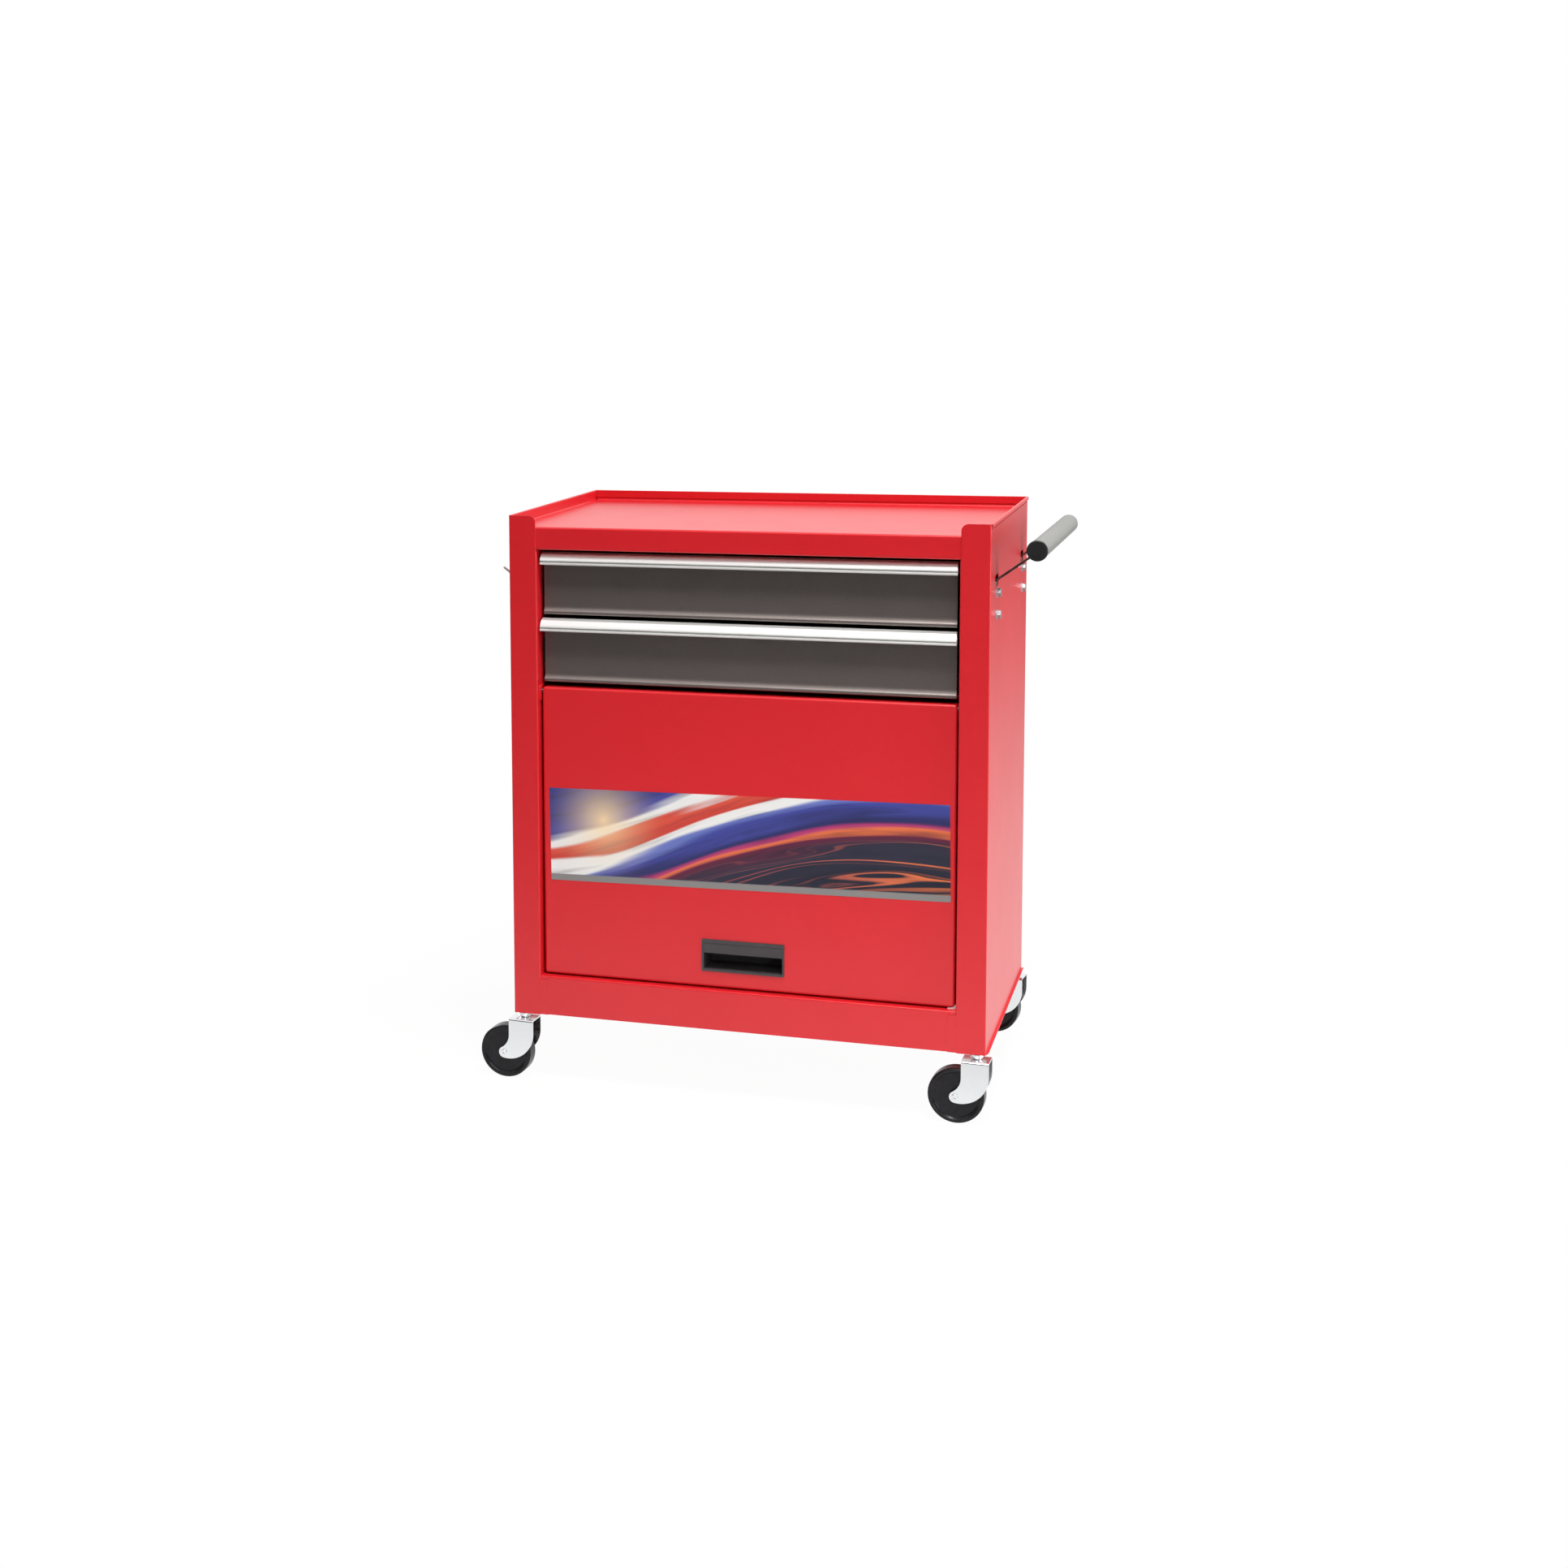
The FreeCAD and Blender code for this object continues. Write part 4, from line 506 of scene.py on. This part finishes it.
def colour_steps(tree, value, steps):
    """Colour ramp through (place, colour) steps."""
    ramp = tree.nodes.new("ShaderNodeValToRGB")
    ramp.color_ramp.interpolation = "EASE"
    elements = ramp.color_ramp.elements
    # Every element is placed below, so a new one may start anywhere
    while len(elements) < len(steps):
        elements.new(0.5)
    for element, (position, colour) in zip(elements, steps):
        element.position = position
        element.color = (*colour, 1.0)
    tree.links.new(value, ramp.inputs["Fac"])
    return ramp.outputs["Color"]


def with_folds(tree, colour, flow):
    """Darker folds that run with the ribbons."""
    folds = noise(tree, flow, FOLD["cells"], detail=2.0)
    folds = spread(tree, folds, 0.0, FOLD["strength"], FOLD["part"])
    return blend(tree, folds, colour, FOLD["colour"])


def with_streaks(tree, colour, along, offset):
    """Fine streaks of light over the slate field."""
    flow = pair(tree, arithmetic(tree, "MULTIPLY", along, STREAK["along"]),
                arithmetic(tree, "MULTIPLY", offset, STREAK["across"]))
    streaks = noise(tree, flow, STREAK["cells"], detail=2.0)
    streaks = spread(tree, streaks, 0.0, STREAK["strength"], STREAK["part"])
    slate = spread(tree, offset, 1.0, 0.0, STREAK["slate"])
    light = blend(tree, spread(tree, along, 0.0, 1.0, SHEET_SPAN), *STREAK["colours"])
    return blend(tree, arithmetic(tree, "MULTIPLY", streaks, slate), colour, light)


def soft_spot(tree, along, across):
    """Strength of a round spot of warm light, 0 past its reach."""
    wide = arithmetic(tree, "SUBTRACT", along, SPOT["along"])
    high = arithmetic(tree, "SUBTRACT", across, SPOT["across"])
    high = arithmetic(tree, "MULTIPLY", high, LABEL_HALF[1] / LABEL_HALF[0])
    far = length_of(tree, pair(tree, wide, high))
    near = spread(tree, far, SPOT["strength"], 0.0, (0.0, SPOT["reach"]))
    return arithmetic(tree, "POWER", near, SPOT["falloff"])


# Finish of each slot in the record
FINISHES = {
    "red_paint": red_coat,
    "drawer_grey": drawer_coat,
    "pull_silver": pull_silver,
    "slide_steel": slide_steel,
    "zinc": caster_zinc,
    "dark_steel": arm_steel,
    "grip_grey": grip_sleeve,
    "black_plastic": cap_plastic,
    "wheel_black": wheel_plastic,
    "white_nylon": bumper_nylon,
    "label_print": label_print,
}


def dress_nodes():
    """Gives every node of the frame its own finish, or else that of its slot."""
    finishes = {slot: make() for slot, make in FINISHES.items()}
    own = {
        "door_pull": door_pull_plastic(),
        "door_pins": finishes["slide_steel"],
        "side_hook": dull_zinc("hook_zinc", HOOK_TONES),
    }
    own.update(dict.fromkeys(BOLT_NODES, dull_zinc("bolt_zinc", BOLT_TONES)))
    own.update(dict.fromkeys(HINGE_NODES, finishes["red_paint"]))
    slots = {part["node"]: part["material_slot"] for part in frame["record"]["subparts"]}
    for name, node in NODES.items():
        node.data.materials.clear()
        node.data.materials.append(own.get(name, finishes[slots[name]]))


# Studio


def make_floor():
    """Pale floor that reads as the white background and keeps a soft shadow."""
    bpy.ops.object.select_all(action="DESELECT")
    bpy.ops.mesh.primitive_plane_add(size=FLOOR_SIZE, location=(0.0, 0.0, 0.0))
    floor = bpy.context.active_object
    floor.name = "studio_floor"
    material, tree, shader, place = shader_tree("pale_studio_floor")
    shader.inputs["Base Color"].default_value = (*FLOOR_COLOUR, 1.0)
    shader.inputs["Roughness"].default_value = FLOOR_ROUGHNESS
    shader.inputs["Specular IOR Level"].default_value = 0.0
    glow = tree.nodes.new("ShaderNodeEmission")
    glow.inputs["Strength"].default_value = BACKGROUND_STRENGTH
    tree.links.new(room_colour(tree, axes_of(tree, place), "floor"), glow.inputs["Color"])
    cover = spread(tree, length_of(tree, place), FLOOR_GLOW, 1.0, FLOOR_GLOW_REACH)
    weight = arithmetic(tree, "MULTIPLY", seen_ray(tree), cover)
    output = next(node for node in tree.nodes if node.type == "OUTPUT_MATERIAL")
    mix_into(tree, output, weight, shader.outputs["BSDF"], glow.outputs["Emission"])
    floor.data.materials.append(material)


def make_world():
    """Plain soft light from all round, white where it is seen."""
    world = bpy.data.worlds.new("studio_world")
    bpy.context.scene.world = world
    world.use_nodes = True
    tree = world.node_tree
    tree.nodes.clear()
    output = tree.nodes.new("ShaderNodeOutputWorld")
    light = tree.nodes.new("ShaderNodeBackground")
    light.inputs["Color"].default_value = (*WHITE, 1.0)
    light.inputs["Strength"].default_value = WORLD_STRENGTH
    backdrop = tree.nodes.new("ShaderNodeBackground")
    backdrop.inputs["Strength"].default_value = BACKGROUND_STRENGTH
    direction = tree.nodes.new("ShaderNodeTexCoord").outputs["Generated"]
    tree.links.new(room_colour(tree, axes_of(tree, direction), "sky"), backdrop.inputs["Color"])
    mix_into(tree, output, seen_ray(tree), light.outputs["Background"], backdrop.outputs["Background"])


def room_colour(tree, axes, part):
    """White where the camera looks. In reflections the front, the right and the far floor are darker."""
    level = spread(tree, axes["Y"], FRONT_FADE["level"], 1.0, FRONT_FADE[part])
    if part == "sky":
        ceiling = spread(tree, axes["Z"], 0.0, CEILING_FADE["level"], CEILING_FADE[part])
        level = arithmetic(tree, "MAXIMUM", level, ceiling)
    right = spread(tree, axes["X"], 1.0, RIGHT_FADE["level"], RIGHT_FADE[part])
    level = arithmetic(tree, "MULTIPLY", level, right)
    if part == "floor":
        back = spread(tree, axes["Y"], 1.0, BACK_FADE["level"], BACK_FADE[part])
        level = arithmetic(tree, "MULTIPLY", level, back)
    path = tree.nodes.new("ShaderNodeLightPath")
    seen = arithmetic(tree, "MAXIMUM", level, path.outputs["Is Camera Ray"])
    return blend(tree, seen, BLACK, WHITE)


def seen_ray(tree):
    """1 for a ray from the camera, or one seen in a gloss or through a clear material."""
    path = tree.nodes.new("ShaderNodeLightPath")
    either = arithmetic(tree, "MAXIMUM", path.outputs["Is Camera Ray"], path.outputs["Is Glossy Ray"])
    return arithmetic(tree, "MAXIMUM", either, path.outputs["Is Transmission Ray"])


def mix_into(tree, output, weight, first, second):
    """Sends two shaders to the output, mixed by the weight of the second."""
    mix = tree.nodes.new("ShaderNodeMixShader")
    tree.links.new(weight, mix.inputs["Fac"])
    tree.links.new(first, mix.inputs[1])
    tree.links.new(second, mix.inputs[2])
    tree.links.new(mix.outputs["Shader"], output.inputs["Surface"])


def add_lamp(name, place, aim, size, power, spread_angle=math.pi):
    """Soft rectangular lamp."""
    data = bpy.data.lights.new(name, "AREA")
    data.shape = "RECTANGLE"
    data.size, data.size_y = size
    data.energy = power
    data.spread = spread_angle
    lamp = bpy.data.objects.new(name, data)
    bpy.context.scene.collection.objects.link(lamp)
    lamp.location = place
    direction = Vector(aim) - Vector(place)
    lamp.rotation_euler = direction.to_track_quat("-Z", "Y").to_euler()


def camera_turn():
    """Turn of the camera, from its azimuth, elevation and roll."""
    flat, steep = math.cos(CAMERA_ELEVATION), math.sin(CAMERA_ELEVATION)
    back = Vector((math.sin(CAMERA_AZIMUTH) * flat, -math.cos(CAMERA_AZIMUTH) * flat, steep))
    right = Vector((math.cos(CAMERA_AZIMUTH), math.sin(CAMERA_AZIMUTH), 0.0))
    up = back.cross(right)
    across = math.cos(CAMERA_ROLL) * right + math.sin(CAMERA_ROLL) * up
    upward = math.cos(CAMERA_ROLL) * up - math.sin(CAMERA_ROLL) * right
    return Matrix((across, upward, back)).transposed().to_4x4()


def make_camera():
    """Camera of the photograph's view."""
    data = bpy.data.cameras.new("photo_camera")
    data.sensor_width = CAMERA_SENSOR_MM
    data.lens = CAMERA_LENS_MM
    data.shift_x, data.shift_y = CAMERA_SHIFT
    data.clip_end = CAMERA_REACH
    camera = bpy.data.objects.new("photo_camera", data)
    bpy.context.scene.collection.objects.link(camera)
    camera.matrix_world = Matrix.Translation(CAMERA_PLACE) @ camera_turn()
    bpy.context.scene.camera = camera


make_camera()
make_world()
make_floor()
for lamp_name, lamp in LAMPS.items():
    add_lamp(lamp_name, **lamp)
bpy.context.scene.view_settings.view_transform = "Standard"
dress_nodes()
